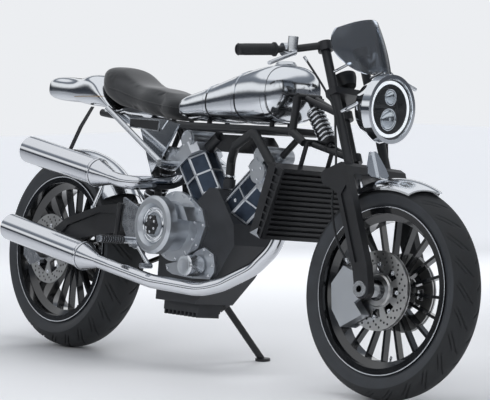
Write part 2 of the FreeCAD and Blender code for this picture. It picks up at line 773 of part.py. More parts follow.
def build_case():
    body = new_body("engine_case_cast")
    x0, z0 = CRANK_X, S.crank_z
    half = S.barrel_deep / 2 + 1
    px, pz = PIVOT_X, S.pivot_z
    foot = S.barrel_foot
    side_plate(body, "engine_case_outline", [
        (px - 26, pz - 22), (px - 26, pz + 43), (px + 24, pz + 43), (px + 60, pz + 60),
        (x0 - 165, z0 + 70), bank_point(-S.rear_bank, -half, foot),
        bank_point(-S.rear_bank, half, foot), bank_point(S.front_bank, -half, foot),
        bank_point(S.front_bank, half, foot), (x0 + 130, z0 - 50), (x0 + 60, z0 - 150),
        (x0 - 40, z0 - 245), (x0 - 235, z0 - 245), (x0 - 235, z0 - 90)], S.case_left, -S.case_right)
    neck = new_sketch(body, "engine_case_neck", "XY", z0 + 120)
    draw_circle(neck, x0 + HOSE_X, HOSE_Y, 19)
    extrude(body, "Pad", neck, HOSE_RISE - 120)
    side_disc(body, "engine_case_pivot_bore", px, pz, S.pivot_r, 200, -200, "Pocket")
    return body


keep(build_case(), "engine_case")


def build_clutch_cover():
    body = new_body("clutch_cover_turned")
    section = new_sketch(body, "clutch_cover_section", "YZ")
    face, root = -S.drum_face, -S.case_right
    r, flange = S.drum_r, S.cover_flange_r
    draw_outline(section, [
        (root, 0), (root, flange), (root - 14, flange), (root - 20, r - 12), (face + 40, r - 12),
        (face + 34, r), (face + 8, r), (face, r - 10), (face, r - 24), (face + 14, r - 34),
        (face + 14, 34), (face + 4, 30), (face + 4, 0)])
    turn(body, "Revolution", section)
    side_plate(body, "clutch_cover_apron", [
        (20, 100), (74, 92), (126, 61), (149, 10), (120, -62), (60, -90)], root, root - 12)
    side_plate(body, "clutch_cover_fin", [
        (r - 20, 26), (flange + 18, 22), (flange - 10, 64), (r - 34, 70)], root - 10, face + 44)
    return body


keep(build_clutch_cover(), "clutch_cover", at(CRANK_X - S.clutch_back, 0, S.crank_z - S.clutch_drop))


def build_alternator_cover():
    body = new_body("alternator_cover_turned")
    section = new_sketch(body, "alternator_cover_section", "YZ")
    root = S.case_left
    draw_outline(section, [
        (root, 0), (root + 44, 0), (root + 44, 52), (root + 36, 84), (root + 12, 100), (root, 104)])
    turn(body, "Revolution", section)
    return body


keep(build_alternator_cover(), "alternator_cover", at(CRANK_X, 0, S.crank_z))


def build_filter():
    body = new_body("oil_filter_turned")
    section = new_sketch(body, "oil_filter_section", "YZ")
    root = -S.case_right
    r = S.filter_r
    draw_outline(section, [
        (root, 0), (root, r - 6), (root - 12, r - 6), (root - 16, r), (8 - S.filter_end, r),
        (-S.filter_end, r - 8), (-S.filter_end, 0)])
    turn(body, "Revolution", section)
    return body


keep(build_filter(), "oil_filter", at(CRANK_X - 20, 0, S.crank_z - 125))


def bank(degrees, offset):
    """Frame of a cylinder: local Z runs up the bore from the crankshaft."""
    return Placement(Vector(float(CRANK_X), float(offset), float(S.crank_z)), Rotation(Y_AXIS, float(degrees)))


BARREL_BAND = S.barrel_foot + 74
STAY_ACROSS, STAY_BOSS = -24, 3


def octagon(half_x, half_y, chamfer):
    return [
        (-half_x, -half_y + chamfer), (-half_x + chamfer, -half_y), (half_x - chamfer, -half_y),
        (half_x, -half_y + chamfer), (half_x, half_y - chamfer), (half_x - chamfer, half_y),
        (-half_x + chamfer, half_y), (-half_x, half_y - chamfer)]


def build_barrel(name):
    """Eight flat panels sunk between ribs along the edges and one band across."""
    body = new_body(name)
    deep, wide, rib = S.barrel_deep / 2, S.barrel_wide / 2, S.edge_rib
    core = new_sketch(body, name + "_core", "XY", S.barrel_foot)
    draw_outline(core, octagon(deep, wide, S.barrel_chamfer))
    extrude(body, "Pad", core, S.barrel_top - S.barrel_foot)
    sunk = 5
    for place, low, high in (("low", S.barrel_foot, BARREL_BAND - 3), ("high", BARREL_BAND + 3, S.barrel_top)):
        for side in (-1, 1):
            face = new_sketch(body, f"{name}_panel_{place}_{side + 1}", "XY", high)
            reach = deep - S.barrel_chamfer - rib / 2
            draw_box(face, -reach, side * (wide - sunk), reach, side * (wide + 1))
            extrude(body, "Pocket", face, high - low)
            end = new_sketch(body, f"{name}_end_{place}_{side + 1}", "XY", high)
            reach = wide - S.barrel_chamfer - rib / 2
            draw_box(end, side * (deep - sunk), -reach, side * (deep + 1), reach)
            extrude(body, "Pocket", end, high - low)
    return body


PORT_RISE = 12


def build_head(name, timing_cover=False):
    """A foot with two cam boxes across it, each closed by a round cover at both ends."""
    body = new_body(name)
    deep, wide = S.barrel_deep / 2, S.barrel_wide / 2
    low = new_sketch(body, name + "_low", "XY", S.barrel_top)
    draw_outline(low, octagon(deep + 2, wide + 2, 20))
    extrude(body, "Pad", low, 44)
    middle = new_sketch(body, name + "_middle", "XY", S.barrel_top + 44)
    draw_box(middle, -S.cam_spread, -S.cam_half + 6, S.cam_spread, S.cam_half - 6)
    extrude(body, "Pad", middle, S.head_top - S.barrel_top - 66)
    cam_up = S.head_top - S.cam_r
    for side in (-1, 1):
        across = side * S.cam_spread
        side_disc(body, f"{name}_cam_{side + 1}", across, cam_up, S.cam_r, S.cam_half, -S.cam_half)
        side_disc(body, f"{name}_cover_{side + 1}", across, cam_up, S.cam_r - 3, S.cam_half + 6, -S.cam_half - 6)
    if timing_cover:
        side_disc(body, name + "_timing", 0, S.barrel_top + 30, S.cam_r + 3, -wide - 1.5, -wide - 10)
    boss = new_sketch(body, name + "_boss", "XY", cam_up)
    draw_circle(boss, STAY_ACROSS, 0, 14)
    extrude(body, "Pad", boss, S.cam_r + STAY_BOSS)
    return body


front_bank = bank(S.front_bank, FRONT_Y)
rear_bank = bank(-S.rear_bank, REAR_Y)
barrels = [build_barrel("front_barrel"), build_barrel("rear_barrel")]
heads = [build_head("front_head", timing_cover=True), build_head("rear_head")]
for pieces in (barrels, heads):
    pieces[0].Placement = front_bank
    pieces[1].Placement = rear_bank
keep(together("barrels_both", barrels), "cylinders")
keep(together("heads_both", heads), "cylinder_heads")


def head_port(degrees, offset, side):
    """Where a pipe leaves a cylinder head's front or rear face, and its direction."""
    across = side * (S.barrel_deep / 2 + 2)
    x, z = bank_point(degrees, across, S.barrel_top + PORT_RISE)
    heading = Vector(float(cosine(degrees)) * side, 0, -float(sine(degrees)) * side)
    return Vector(float(x), float(offset), float(z)), heading


def build_airbox():
    """The air box between the heads, with a throttle body down to each inlet port."""
    body = new_body("airbox_moulded")
    x0, z0 = CRANK_X, S.crank_z
    side_plate(body, "airbox_outline", [
        (x0 - 74, z0 + 250), (x0 - 60, z0 + 288), (x0 + 112, z0 + 288), (x0 + 140, z0 + 262),
        (x0 + 112, z0 + 234), (x0 - 40, z0 + 234)], 60, -20)
    throttles = []
    for name, degrees, offset, side in (("front", S.front_bank, FRONT_Y, -1), ("rear", -S.rear_bank, REAR_Y, 1)):
        start, heading = head_port(degrees, offset, side)
        throttles.append(rod(name + "_throttle", start, start + heading * 62, 19))
    return fused("airbox_whole", [body] + throttles)


keep(build_airbox(), "airbox")


def build_sump():
    body = new_body("oil_sump_cast")
    top = S.crank_z - 245
    x0 = CRANK_X - 235
    core = new_sketch(body, "oil_sump_core", "XY", top)
    draw_box(core, x0, -44, x0 + 175, 44)
    extrude(body, "Pad", core, 30, reverse=True)
    rib = new_sketch(body, "oil_sump_rib", "XY", top - 30)
    draw_box(rib, x0 + 4, -44, x0 + 10, 44)
    first = extrude(body, "Pad", rib, 14, reverse=True)
    ribs = body.newObject("PartDesign::LinearPattern", "oil_sump_ribs")
    ribs.Originals = [first]
    ribs.Direction = (rib, ["H_Axis"])
    ribs.Occurrences = 9
    ribs.Length = 160
    body.Tip = ribs
    return body


keep(build_sump(), "oil_sump")

# Radiator: local X is its thickness, local Z its height, and its top leans forward.

RADIATOR_X = (CRANK_X + 331) * 0.7 + (S.wheelbase - 419) * 0.3
radiator_place = at(RADIATOR_X, 0, 438, Y_AXIS, S.radiator_tilt)
INLET_Y, INLET_LONG = -98, 14


def build_radiator():
    body = new_body("radiator_core")
    half, high, thick = S.radiator_half, S.radiator_high, S.radiator_thick
    core = new_sketch(body, "radiator_block", "YZ", -thick / 2)
    draw_box(core, -half, 0, half, high)
    extrude(body, "Pad", core, thick)
    slot = new_sketch(body, "radiator_slot", "YZ", thick / 2)
    draw_box(slot, -half + 12, 12, half - 12, 20)
    first = extrude(body, "Pocket", slot, 10)
    slots = body.newObject("PartDesign::LinearPattern", "radiator_slots")
    slots.Originals = [first]
    slots.Direction = (slot, ["V_Axis"])
    slots.Occurrences = 13
    slots.Length = float(high) - 32
    slots.setExpression("Length", (high - 32).text)
    body.Tip = slots
    inlet = new_sketch(body, "radiator_inlet", "YZ", -thick / 2)
    draw_circle(inlet, INLET_Y, high - 30, 17)
    extrude(body, "Pad", inlet, INLET_LONG, reverse=True)
    return body


keep(build_radiator(), "radiator", radiator_place)


def build_radiator_frame():
    body = new_body("radiator_frame_side")
    half, high, thick = S.radiator_half, S.radiator_high, S.radiator_thick / 2
    outline = [(-thick, 0), (thick - 4, 0), (thick + 12, high), (-thick, high)]
    side_plate(body, "radiator_frame_outline", outline, half + 6, half)
    for row in range(9):
        low, top = high * (row + 0.38) / 9.4, high * (row + 1.14) / 9.4
        side_plate(body, f"radiator_frame_window_{row}", [
            (4, low), (18 + low * 0.07, low), (18 + top * 0.07, top), (4, top)], half + 20, half - 10, "Pocket")
    return pair("radiator_frame_pair", body)


keep(build_radiator_frame(), "radiator_frames", radiator_place)

# Frame tubes, wishbones and the springs.

RAIL_Z = 757


def stay_to_head(degrees, offset):
    """A stay that stands square on the boss of a cylinder head and ends in a cross tube."""
    x, z = map(float, bank_point(degrees, STAY_ACROSS, S.head_top + STAY_BOSS))
    foot = Vector(x, float(offset), z)
    rise = (RAIL_Z - z) / float(cosine(degrees))
    return foot, foot + Vector(float(sine(degrees)), 0, float(cosine(degrees))) * rise


def build_pivot():
    body = new_body("pivot_shaft")
    section = new_sketch(body, "pivot_section", "YZ")
    reach = S.arm_out + 10
    r = S.pivot_r
    draw_outline(section, [
        (-reach, 0), (-reach, r), (reach - 4, r), (reach - 4, r + 4), (reach, r + 4), (reach, 0)])
    turn(body, "Revolution", section)
    return body


keep(build_pivot(), "swingarm_pivot", at(PIVOT_X, 0, S.pivot_z))


def steer_point(high, ahead=0.0, y=0.0):
    """A point of the fork: so high along the steering axis, and so far ahead of it."""
    return STEER_FRAME.multVec(Vector(float(ahead), float(y), float(high)))


head_x = float(RADIATOR_X)
LOWER_ROOT, UPPER_ROOT = Vector(head_x + 57, 36, 725), Vector(head_x - 3, 22, 862)
LOWER_EYE, UPPER_EYE = steer_point(CROWN_TOP + 41), steer_point(S.bridge_low - 42)
SPRING_FOOT = LOWER_ROOT + (LOWER_EYE - LOWER_ROOT) * 0.39
SPRING_FOOT.y = 0


def build_wishbones():
    solids = []
    for eye, root in ((LOWER_EYE, LOWER_ROOT), (UPPER_EYE, UPPER_ROOT)):
        whole = Part.makeCylinder(24, 26, eye - steer_axis * 13, steer_axis)
        for side in (-1, 1):
            start = Vector(root.x, root.y * side, root.z)
            heading = (eye - start).normalize()
            start = start + heading * (float(S.frame_tube_r) + 2)
            whole = whole.fuse(Part.makeCylinder(9, (eye - start).Length - 8, start, heading))
        if root is LOWER_ROOT:
            whole = whole.fuse(Part.makeCylinder(7, 62, SPRING_FOOT - Y_AXIS * 31, Y_AXIS))
        bore = Part.makeCylinder(float(S.stem_r + S.running_gap), 60, eye - steer_axis * 30, steer_axis)
        solids.append(whole.cut(bore))
    return shaped("wishbone_arms", Part.makeCompound(solids))


keep(build_wishbones(), "wishbones")


def build_damper(name, long, spring_r):
    body = new_body(name)
    section = new_sketch(body, name + "_section", "YZ")
    draw_outline(section, [
        (0, 0), (0, 10), (12, 10), (12, spring_r - 8), (20, spring_r), (long * 0.72, spring_r),
        (long * 0.72 + 8, 9), (long, 9), (long, 0)])
    turn(body, "Revolution", section)
    return body


def damper_between(name, low, high, low_gap, high_gap, spring_r):
    """A spring unit whose ends stop short of the centres that carry it."""
    heading = (high - low).normalize()
    start = low + heading * low_gap
    long = (high - low).Length - low_gap - high_gap
    return build_damper(name, size(long), spring_r), Placement(start, Rotation(Y_AXIS, heading))


SHOCK_TOP = stay_to_head(-S.rear_bank, REAR_Y)[1]
SHOCK_TOP.y = 0
shock_foot = Vector(float(BRIDGE_REAR + BRIDGE_FRONT) / 2, 0, float(S.pivot_z) + 45)
unit, place = damper_between("rear_damper", shock_foot, SHOCK_TOP, 0, 11.2, 34)
keep(unit, "rear_shock", place)
unit, place = damper_between("front_damper", SPRING_FOOT, Vector(UPPER_ROOT.x, 0, UPPER_ROOT.z), 7.2, 11.2, 25)
keep(unit, "front_shock", place)

# Tank, seat and tail: smooth skins through upright sections.

tank_low = S.tank_low_z
TANK = [
    (578, 66, tank_low + 12, 838), (600, 84, tank_low + 3, 851), (650, 94, tank_low, 866),
    (729, 104, tank_low, 886), (885, 116, tank_low, 932), (980, 121, tank_low + 1, 953),
    (1024, 117, tank_low + 5, 957), (1052, 104, tank_low + 18, 950), (1070, 84, tank_low + 40, 934),
    (1081, 58, tank_low + 64, 912), (1087, 26, tank_low + 88, 888)]
SEAT = [
    (176, 66, 858, 935), (190, 88, 846, 944), (230, 102, 826, 936), (300, 102, 812, 900),
    (380, 98, 800, 874), (484, 92, 786, 860), (540, 86, 780, 848), (566, 76, 780, 838), (574, 56, 784, 826)]
TAIL = [
    (-150, 52, 838, 884), (-140, 62, 832, 892), (-60, 72, 822, 902), (60, 82, 812, 906),
    (150, 88, 806, 900), (200, 82, 800, 843), (300, 78, 792, 808)]
TANK_POWER, SEAT_POWER, TAIL_POWER = 2.7, 3.0, 3.4
BAND_XS = (752, 900, 1036)
BAND_THICK, BAND_WIDE = 2.5, 14
REST_R = 8
tank_skin, tail_skin = lofted(TANK, TANK_POWER), lofted(TAIL, TAIL_POWER)
seat_skin = lofted(SEAT, SEAT_POWER).cut(tail_skin)
keep(shaped("tank_skin", tank_skin), "tank")
keep(shaped("seat_cushion", seat_skin), "seat")
keep(shaped("tail_skin", tail_skin), "tail")


def build_bands():
    """Three hoops round the tank and a strap along its spine, lying on its skin."""
    grown = lofted([(x, half + BAND_THICK, low - BAND_THICK, high + BAND_THICK)
                    for x, half, low, high in TANK], TANK_POWER)
    starts = [float(along(x)) - BAND_WIDE / 2 for x in BAND_XS]
    slabs = [Part.makeBox(BAND_WIDE, 400, 400, Vector(x, -200, 700)) for x in starts]
    slabs.append(Part.makeBox(float(along(430)), 22, 200, Vector(float(along(600)), -11, 815)))
    bands = [grown.common(slab) for slab in slabs]
    return shaped("tank_hoops", bands[0].multiFuse(bands[1:]).cut(tank_skin))


keep(build_bands(), "tank_bands")


def across_tube(x, half_long, z, radius):
    return Part.makeCylinder(radius, 2 * half_long, Vector(float(x), -half_long, z), Y_AXIS)


def rail_side(x):
    """Sideways place of the rails, which close in towards the steering head."""
    share = (head_x - 1 - x) / (head_x - 1 - float(along(620)))
    return 60 + (float(S.rail_y) - 60) * min(1, share)


def build_frame():
    """Rails under the tank and seat with cross tubes, stays, and the rests that carry the skins."""
    y, tube = float(S.rail_y), float(S.frame_tube_r)
    tail_x, tail_z = float(along(190)), 786
    rail = [(head_x + 59, 60, 724), (head_x - 1, 60, RAIL_Z), (float(along(620)), y, RAIL_Z),
            (float(along(480)), y, RAIL_Z), (tail_x, y, tail_z)]
    drop_x = float(PIVOT_X)
    case_top = float(S.pivot_z) + 43
    down = [(drop_x - 36, y, RAIL_Z - 7), (drop_x - 32, 60, 620), (drop_x - 10, 58, case_top + 40),
            (drop_x - 10, 58, case_top)]
    tower = [(head_x + 3, 61, RAIL_Z - 12), (UPPER_ROOT.x, 45, UPPER_ROOT.z)]
    half = [bent_tube(points, tube, 30) for points in (rail, down, tower)]
    solids = half + [solid.mirror(Vector(), Y_AXIS) for solid in half]
    solids.append(across_tube(UPPER_ROOT.x, 45, UPPER_ROOT.z, tube - 1))
    solids.append(across_tube(LOWER_ROOT.x, 60, LOWER_ROOT.z, tube - 1))
    for degrees, offset in ((S.front_bank, FRONT_Y), (-S.rear_bank, REAR_Y)):
        foot, top = stay_to_head(degrees, offset)
        solids.append(Part.makeCylinder(10, (top - foot).Length, foot, top - foot))
        solids.append(across_tube(top.x, rail_side(top.x), RAIL_Z, tube - 1))
    for x, z in ((along(1000), RAIL_Z), (along(700), RAIL_Z), (along(206), tail_z - 2)):
        solids.append(across_tube(x, rail_side(float(x)), z, tube - 1))
    for x, z, tall in ((along(1000), RAIL_Z, 36), (along(700), RAIL_Z, 36), (SHOCK_TOP.x, RAIL_Z, 36),
                       (along(206), tail_z - 2, 24)):
        for side in (-36, 36):
            solids.append(Part.makeCylinder(REST_R, tall, Vector(float(x), side, z), Z_AXIS))
    for side in (-54, 54):
        top = radiator_place.multVec(Vector(-20, side, float(S.radiator_high)))
        upward = radiator_place.Rotation.multVec(Z_AXIS)
        solids.append(Part.makeCylinder(7, 76, top, upward))
    whole = solids[0]
    for solid in solids[1:]:
        whole = whole.fuse(solid)
    for skin in (tank_skin, seat_skin, tail_skin):
        whole = whole.cut(skin)
    return shaped("frame_tubes", whole)


keep(build_frame(), "frame")


def build_side_panel():
    body = new_body("side_panel_plate")
    outer = S.rail_y + S.frame_tube_r + 8
    side_plate(body, "side_panel_outline", [
        (along(300), 782), (along(560), 772), (along(623), 760), (PIVOT_X - 6, 597),
        (along(425), 742), (along(300), 764)], outer, outer - 8)
    return pair("side_panel_pair", body)


keep(build_side_panel(), "side_panels")


def build_strut(name, side, head_face):
    """A seat strut from the rear head's side up to the rail."""
    foot_x, foot_z = map(float, bank_point(-S.rear_bank, -35, S.barrel_top + 15))
    high_x, high_z = float(along(269)), 798
    rail_side = side * (S.rail_y + S.frame_tube_r - 2)
    pieces = [
        rod(name + "_tube", (high_x - 3, side * 113, high_z + 2), (foot_x, side * 138, foot_z), 9),
        rod(name + "_upper_boss", (high_x, side * 121, high_z - 2), (high_x, rail_side, high_z - 6), 8),
        rod(name + "_lower_boss", (foot_x, side * 147, foot_z), (foot_x, head_face, foot_z), 12)]
    return fused(name, pieces)


head_half = S.barrel_wide / 2 + 2
keep(together("strut_set", [build_strut("left_strut", 1, REAR_Y + head_half),
                            build_strut("right_strut", -1, REAR_Y - head_half)]), "seat_struts")


def build_mudguard(name, radius, half, crown_r, span):
    """A curved strip swung about the axle from its body's X axis."""
    body = new_body(name)
    section = new_sketch(body, name + "_section", "XY")
    thick = 3
    crown, half = size(crown_r), size(half)
    edge = radius - crown + square_root(crown * crown - half * half)
    outer = crown + thick
    outer_edge = radius - crown + square_root(outer * outer - half * half)
    draw_outline(section, [
        (edge, -half, crown), (outer_edge, -half), (outer_edge, half, -outer), (edge, half)])
    turn(body, "Revolution", section, "V_Axis", span)
    return body


front_guard_r = S.front_tyre_r + S.guard_gap
front_guard = build_mudguard("front_guard_strip", front_guard_r, 64, 74, 62)
front_guard.Placement = at(S.wheelbase, 0, S.front_tyre_r, Y_AXIS, -126)
guard_tip, guard_corner = S.wheelbase + 144, S.wheelbase + 76
beak = new_body("front_guard_beak")
beak_plan = new_sketch(beak, "front_guard_beak_plan", "XY", 480)
draw_outline(beak_plan, [
    (guard_tip, -10), (guard_tip, 10), (guard_corner, 70), (guard_tip + 100, 90), (guard_tip + 100, -90),
    (guard_corner, -70)])
extrude(beak, "Pad", beak_plan, 240)
stays = [
    rod(f"front_guard_stay_{side + 1}", steer_point(S.crown_low, 40, side * 42),
        steer_point(S.crown_low - 32, 40, side * 42), 8) for side in (-1, 1)]
keep(fused("front_guard_whole", [cut("front_guard_trimmed", front_guard, beak)] + stays),
     "front_mudguard", steered=True)

rear_guard_r = S.rear_tyre_r + 12
rear_guard = build_mudguard("rear_guard_strip", rear_guard_r, 78, 92, 75)
rear_guard.Placement = at(0, 0, S.rear_tyre_r, Y_AXIS, -112)
guard_reach = float(rear_guard_r) - 22
stay_high = Vector(guard_reach * math.cos(math.radians(48)), 62,
                   float(S.rear_tyre_r) + guard_reach * math.sin(math.radians(48)))
arm_slope = Vector(float(along(175)), 0, 50).normalize()
arm_up = Vector(-arm_slope.z, 0, arm_slope.x)
stay_low = Vector(float(along(125)), 124, 432) + arm_slope * float(along(128))
rear_stays = []
for side in (-1, 1):
    low = Vector(stay_low.x, side * stay_low.y, stay_low.z)
    high = Vector(stay_high.x, side * stay_high.y, stay_high.z)
    rear_stays.append(rod(f"rear_guard_foot_{side + 1}", low, low + arm_up * 12, 9))
    rear_stays.append(rod(f"rear_guard_stay_{side + 1}", high, low + arm_up * 8, 5.5))
keep(fused("rear_guard_whole", [rear_guard] + rear_stays), "rear_mudguard")

# Exhaust: bent tubes from the head ports into two cone-nosed silencers.

UPPER_SILENCER = ((along(8), -230, 648), (along(440), -200, 575))
LOWER_SILENCER = ((along(-52), -240, 388), (along(430), -220, 308))
PIPE_BEND, HEADER_BEND = 48, 140


def build_silencer(name, ends):
    start, end = vectors(ends)
    long = (end - start).Length
    body = new_body(name)
    section = new_sketch(body, name + "_section", "XZ")
    r = S.silencer_r
    draw_outline(section, [
        (0, 27), (0, r - 8), (8, r), (long - 70, r), (long - 62, r - 3), (long, S.pipe_r), (long, 0),
        (80, 0), (80, 27)])
    turn(body, "Revolution", section)
    body.Placement = Placement(start, Rotation(X_AXIS, end - start))
    return body


keep(together("silencer_set", [build_silencer("upper_silencer", UPPER_SILENCER),
                               build_silencer("lower_silencer", LOWER_SILENCER)]), "silencers")


def exhaust_run(port, first, middle, silencer, last):
    """From a head's port through the middle points and straight into a silencer's nose."""
    start, heading = port
    tail_end, mouth = vectors(silencer)
    inward = (tail_end - mouth).normalize()
    points = [start, start + heading * first] + vectors(middle) + [mouth - inward * last, mouth]
    return bent_tube(points, S.pipe_r, [PIPE_BEND] + [HEADER_BEND] * len(middle) + [PIPE_BEND])


HEADER = [(CRANK_X + x, y, S.crank_z + z) for x, y, z in (
    (252, -8, -36), (170, -25, -115), (80, -70, -173), (23, -110, -197), (-135, -180, -185))]
keep(shaped("exhaust_run", Part.makeCompound([
    exhaust_run(head_port(S.front_bank, FRONT_Y, 1), 42, HEADER, LOWER_SILENCER, 60),
    exhaust_run(head_port(-S.rear_bank, REAR_Y, -1), 56, [], UPPER_SILENCER, 70)])), "exhaust_pipes")

hose_foot = Vector(float(CRANK_X) + HOSE_X, HOSE_Y, float(S.crank_z) + HOSE_RISE)
inlet_x = -float(S.radiator_thick) / 2 - INLET_LONG
hose_end = radiator_place.multVec(Vector(inlet_x, INLET_Y, float(S.radiator_high) - 30))
hose_in = radiator_place.Rotation.multVec(X_AXIS)
keep(shaped("coolant_run", bent_tube([
    hose_foot, hose_foot + Vector(0, 0, 58), hose_foot + Vector(63, -40, 104), hose_foot + Vector(186, -74, 148),
    hose_end - hose_in * 48, hose_end], 14, [36, 60, 36, 30])), "coolant_hose")

# Footrests and pedals, both sides alike.


def build_footrest():
    outer = S.arm_out + 20
    body = new_body("footrest_plate")
    x0, z0 = PIVOT_X, S.pivot_z
    side_plate(body, "footrest_outline", [
        (x0 - 60, z0 + 60), (x0 + 20, z0 + 30), (x0 + 50, z0 - 90), (x0 - 10, z0 - 95), (x0 - 60, z0 - 20)],
        outer, outer - 10)
    peg = rod("footrest_peg", (x0 + 16, outer - 2, z0 - 73), (x0 + 16, 300, z0 - 73), 11)
    return pair("footrest_pair", fused("footrest", [body, peg]))


keep(build_footrest(), "footrests")


def build_pedal():
    y = float(S.arm_out) + 28
    x0, z0 = PIVOT_X + 39, S.pivot_z - 85
    arm = rod("pedal_arm", (x0, y, z0), (x0 + 97, y + 20, z0 - 61), 7)
    boss = rod("pedal_boss", (x0, y - 8, z0), (x0, y + 10, z0), 14)
    toe = rod("pedal_toe", (x0 + 97, y + 12, z0 - 61), (x0 + 97, y + 55, z0 - 61), 8)
    return pair("pedal_pair", fused("pedal", [arm, boss, toe]))


keep(build_pedal(), "foot_pedals")

# Fork and everything that steers.

axle_local = STEER_FRAME.inverse().multVec(front_centre)


def build_fork():
    body = new_body("fork_milled")
    back, front = S.column_x - S.blade_deep / 2, S.column_x + S.blade_deep / 2
    ax, az = axle_local.x, axle_local.z
    side_plate(body, "fork_blade_outline", [
        (ax + 28, az), (ax, az - 28, 28), (ax - 28, az, 28), (back, az + 60), (back, S.crown_low - 40),
        (-26, S.crown_low + 6), (-26, CROWN_TOP - 6), (-10, CROWN_TOP), (front - 14, CROWN_TOP),
        (front, CROWN_TOP - 16), (front, az + 60)], S.blade_out, -S.blade_out)
    for side in (-1, 1):
        face = side * S.blade_out
        outer, inner = (face, face - 6) if side > 0 else (face + 6, face)
        side_plate(body, f"fork_blade_channel_{side + 1}", [
            (back + 14, az + 80), (front - 14, az + 80), (front - 14, S.crown_low - 30),
            (back + 14, S.crown_low - 50)], outer, inner, "Pocket")
    side_plate(body, "fork_wheel_gap", [
        (-200, 100), (200, 100), (200, S.crown_low), (-200, S.crown_low)], S.blade_in, -S.blade_in, "Pocket")
    side_disc(body, "fork_axle_bore", ax, az, S.front_axle_r, 200, -200, "Pocket")
    for side in (-1, 1):
        column = new_sketch(body, f"fork_column_{side + 1}", "XY", CROWN_TOP - 10)
        draw_circle(column, S.column_x, side * S.column_y, S.column_r)
        extrude(body, "Pad", column, S.column_top - CROWN_TOP + 10)
    stem = new_sketch(body, "fork_stem", "XY", CROWN_TOP - 10)
    draw_circle(stem, 0, 0, S.stem_r)
    extrude(body, "Pad", stem, S.bridge_low - CROWN_TOP + 20)
    bridge = new_sketch(body, "fork_bridge", "XY", S.bridge_low)
    draw_outline(bridge, [
        (-16, -17), (-16, 17), (S.column_x - 22, S.column_y + 16), (S.column_x + 20, S.column_y + 16),
        (S.column_x + 20, -S.column_y - 16), (S.column_x - 22, -S.column_y - 16)])
    extrude(body, "Pad", bridge, 20)
    return body


keep(build_fork(), "fork", STEER_FRAME, steered=True)


def build_fork_shield():
    """A polished plate on the front of the fork crown, with a ridge down its middle."""
    body = new_body("fork_shield_plate")
    face = S.column_x + S.blade_deep / 2
    low, high = S.crown_low - 4, CROWN_TOP + 36
    plate = new_sketch(body, "fork_shield_outline", "YZ", face)
    draw_outline(plate, [
        (-46, low + 10), (-34, low), (34, low), (46, low + 10), (40, low + 32), (16, high), (-16, high),
        (-40, low + 32)])
    extrude(body, "Pad", plate, 5)
    ridge = new_sketch(body, "fork_shield_ridge", "YZ", face + 5)
    draw_box(ridge, -5, low, 5, high)
    extrude(body, "Pad", ridge, 6)
    return body


keep(build_fork_shield(), "fork_shield", STEER_FRAME, steered=True)

bar_root = steer_point(S.column_top - 16, S.column_x, S.column_y)
GRIP_INNER, GRIP_OUTER = bar_root + Vector(-69, 120, -24), bar_root + Vector(-108, 250, -42)
BAR_BEND = GRIP_INNER - (GRIP_OUTER - GRIP_INNER).normalize() * 42


def build_handlebar():
    clamp_low = steer_point(S.column_top - 30, S.column_x, S.column_y)
    clamp_high = steer_point(S.column_top - 2, S.column_x, S.column_y)
    clamp = rod("bar_clamp", clamp_low, clamp_high, S.column_r + 9)
    elbow = bar_root + Vector(-6, 12, 2)
    tubes = [rod("bar_inner", elbow, BAR_BEND, S.bar_r), rod("bar_outer", BAR_BEND, GRIP_OUTER, S.bar_r)]
    hole = rod("bar_clamp_hole", steer_point(S.column_top - 100, S.column_x, S.column_y),
               steer_point(S.column_top + 100, S.column_x, S.column_y), S.column_r)
    return pair("bar_pair", cut("bar", fused("bar_solid", [clamp] + tubes), hole))


keep(build_handlebar(), "handlebar", steered=True)


def build_grip():
    body = new_body("grip_sleeve")
    section = new_sketch(body, "grip_section", "XZ")
    long = S.grip_long
    draw_outline(section, [
        (0, S.bar_r), (0, S.grip_r + 4), (5, S.grip_r + 4), (7, S.grip_r), (long - 6, S.grip_r),
        (long - 4, S.grip_r + 1), (long, S.grip_r - 2), (long, S.bar_r)])
    turn(body, "Revolution", section)
    heading = (GRIP_OUTER - GRIP_INNER).normalize()
    body.Placement = Placement(GRIP_OUTER - heading * float(long - 2), Rotation(X_AXIS, heading))
    return pair("grip_pair", body)


keep(build_grip(), "grips", steered=True)


def build_lever():
    heading = (GRIP_OUTER - GRIP_INNER).normalize()
    seat = GRIP_INNER - heading * 16
    ring = rod("lever_clamp", seat - heading * 11, seat + heading * 6, S.bar_r + 8)
    arm = rod("lever_arm", seat, seat + Vector(52, 6, -10), 9)
    blade = rod("lever_blade", seat + Vector(50, 2, -10), GRIP_OUTER + Vector(124, -10, -36), 6)
    tank = rod("lever_reservoir", seat + Vector(34, 0, -8), seat + Vector(34, 0, 38), 15)
    hole = rod("lever_hole", seat - heading * 60, seat + heading * 60, S.bar_r)
    return pair("lever_pair", cut("lever", fused("lever_solid", [ring, arm, blade, tank]), hole))


keep(build_lever(), "levers", steered=True)


def screen_skin():
    """Outer face of the screen: narrow at its foot, wrapped round the gauge and leaning back."""
    rows = []
    for i in range(9):
        t = i / 8
        spread = math.sin(math.pi * 0.8 * t ** 0.7)
        front_x = float(LAMP_X) - 22 - 62 * t - 12 * t * t
        z = float(S.lamp_z) + 107 + 153 * t
        half, deep = 52 + 52 * spread, 30 + 66 * spread
        drop = 12 + 22 * t ** 3
        rows.append([Vector(front_x - deep * k * k, half * k, z - drop * k * k)
                     for k in (-1, -0.75, -0.5, -0.25, 0, 0.25, 0.5, 0.75, 1)])
    skin = Part.BSplineSurface()
    skin.interpolate(rows)
    return skin.toShape()


SCREEN_BACK = Vector(-3, 0, -1)
screen_face = screen_skin()
keep(shaped("flyscreen_sheet", screen_face.extrude(SCREEN_BACK)), "flyscreen", steered=True)


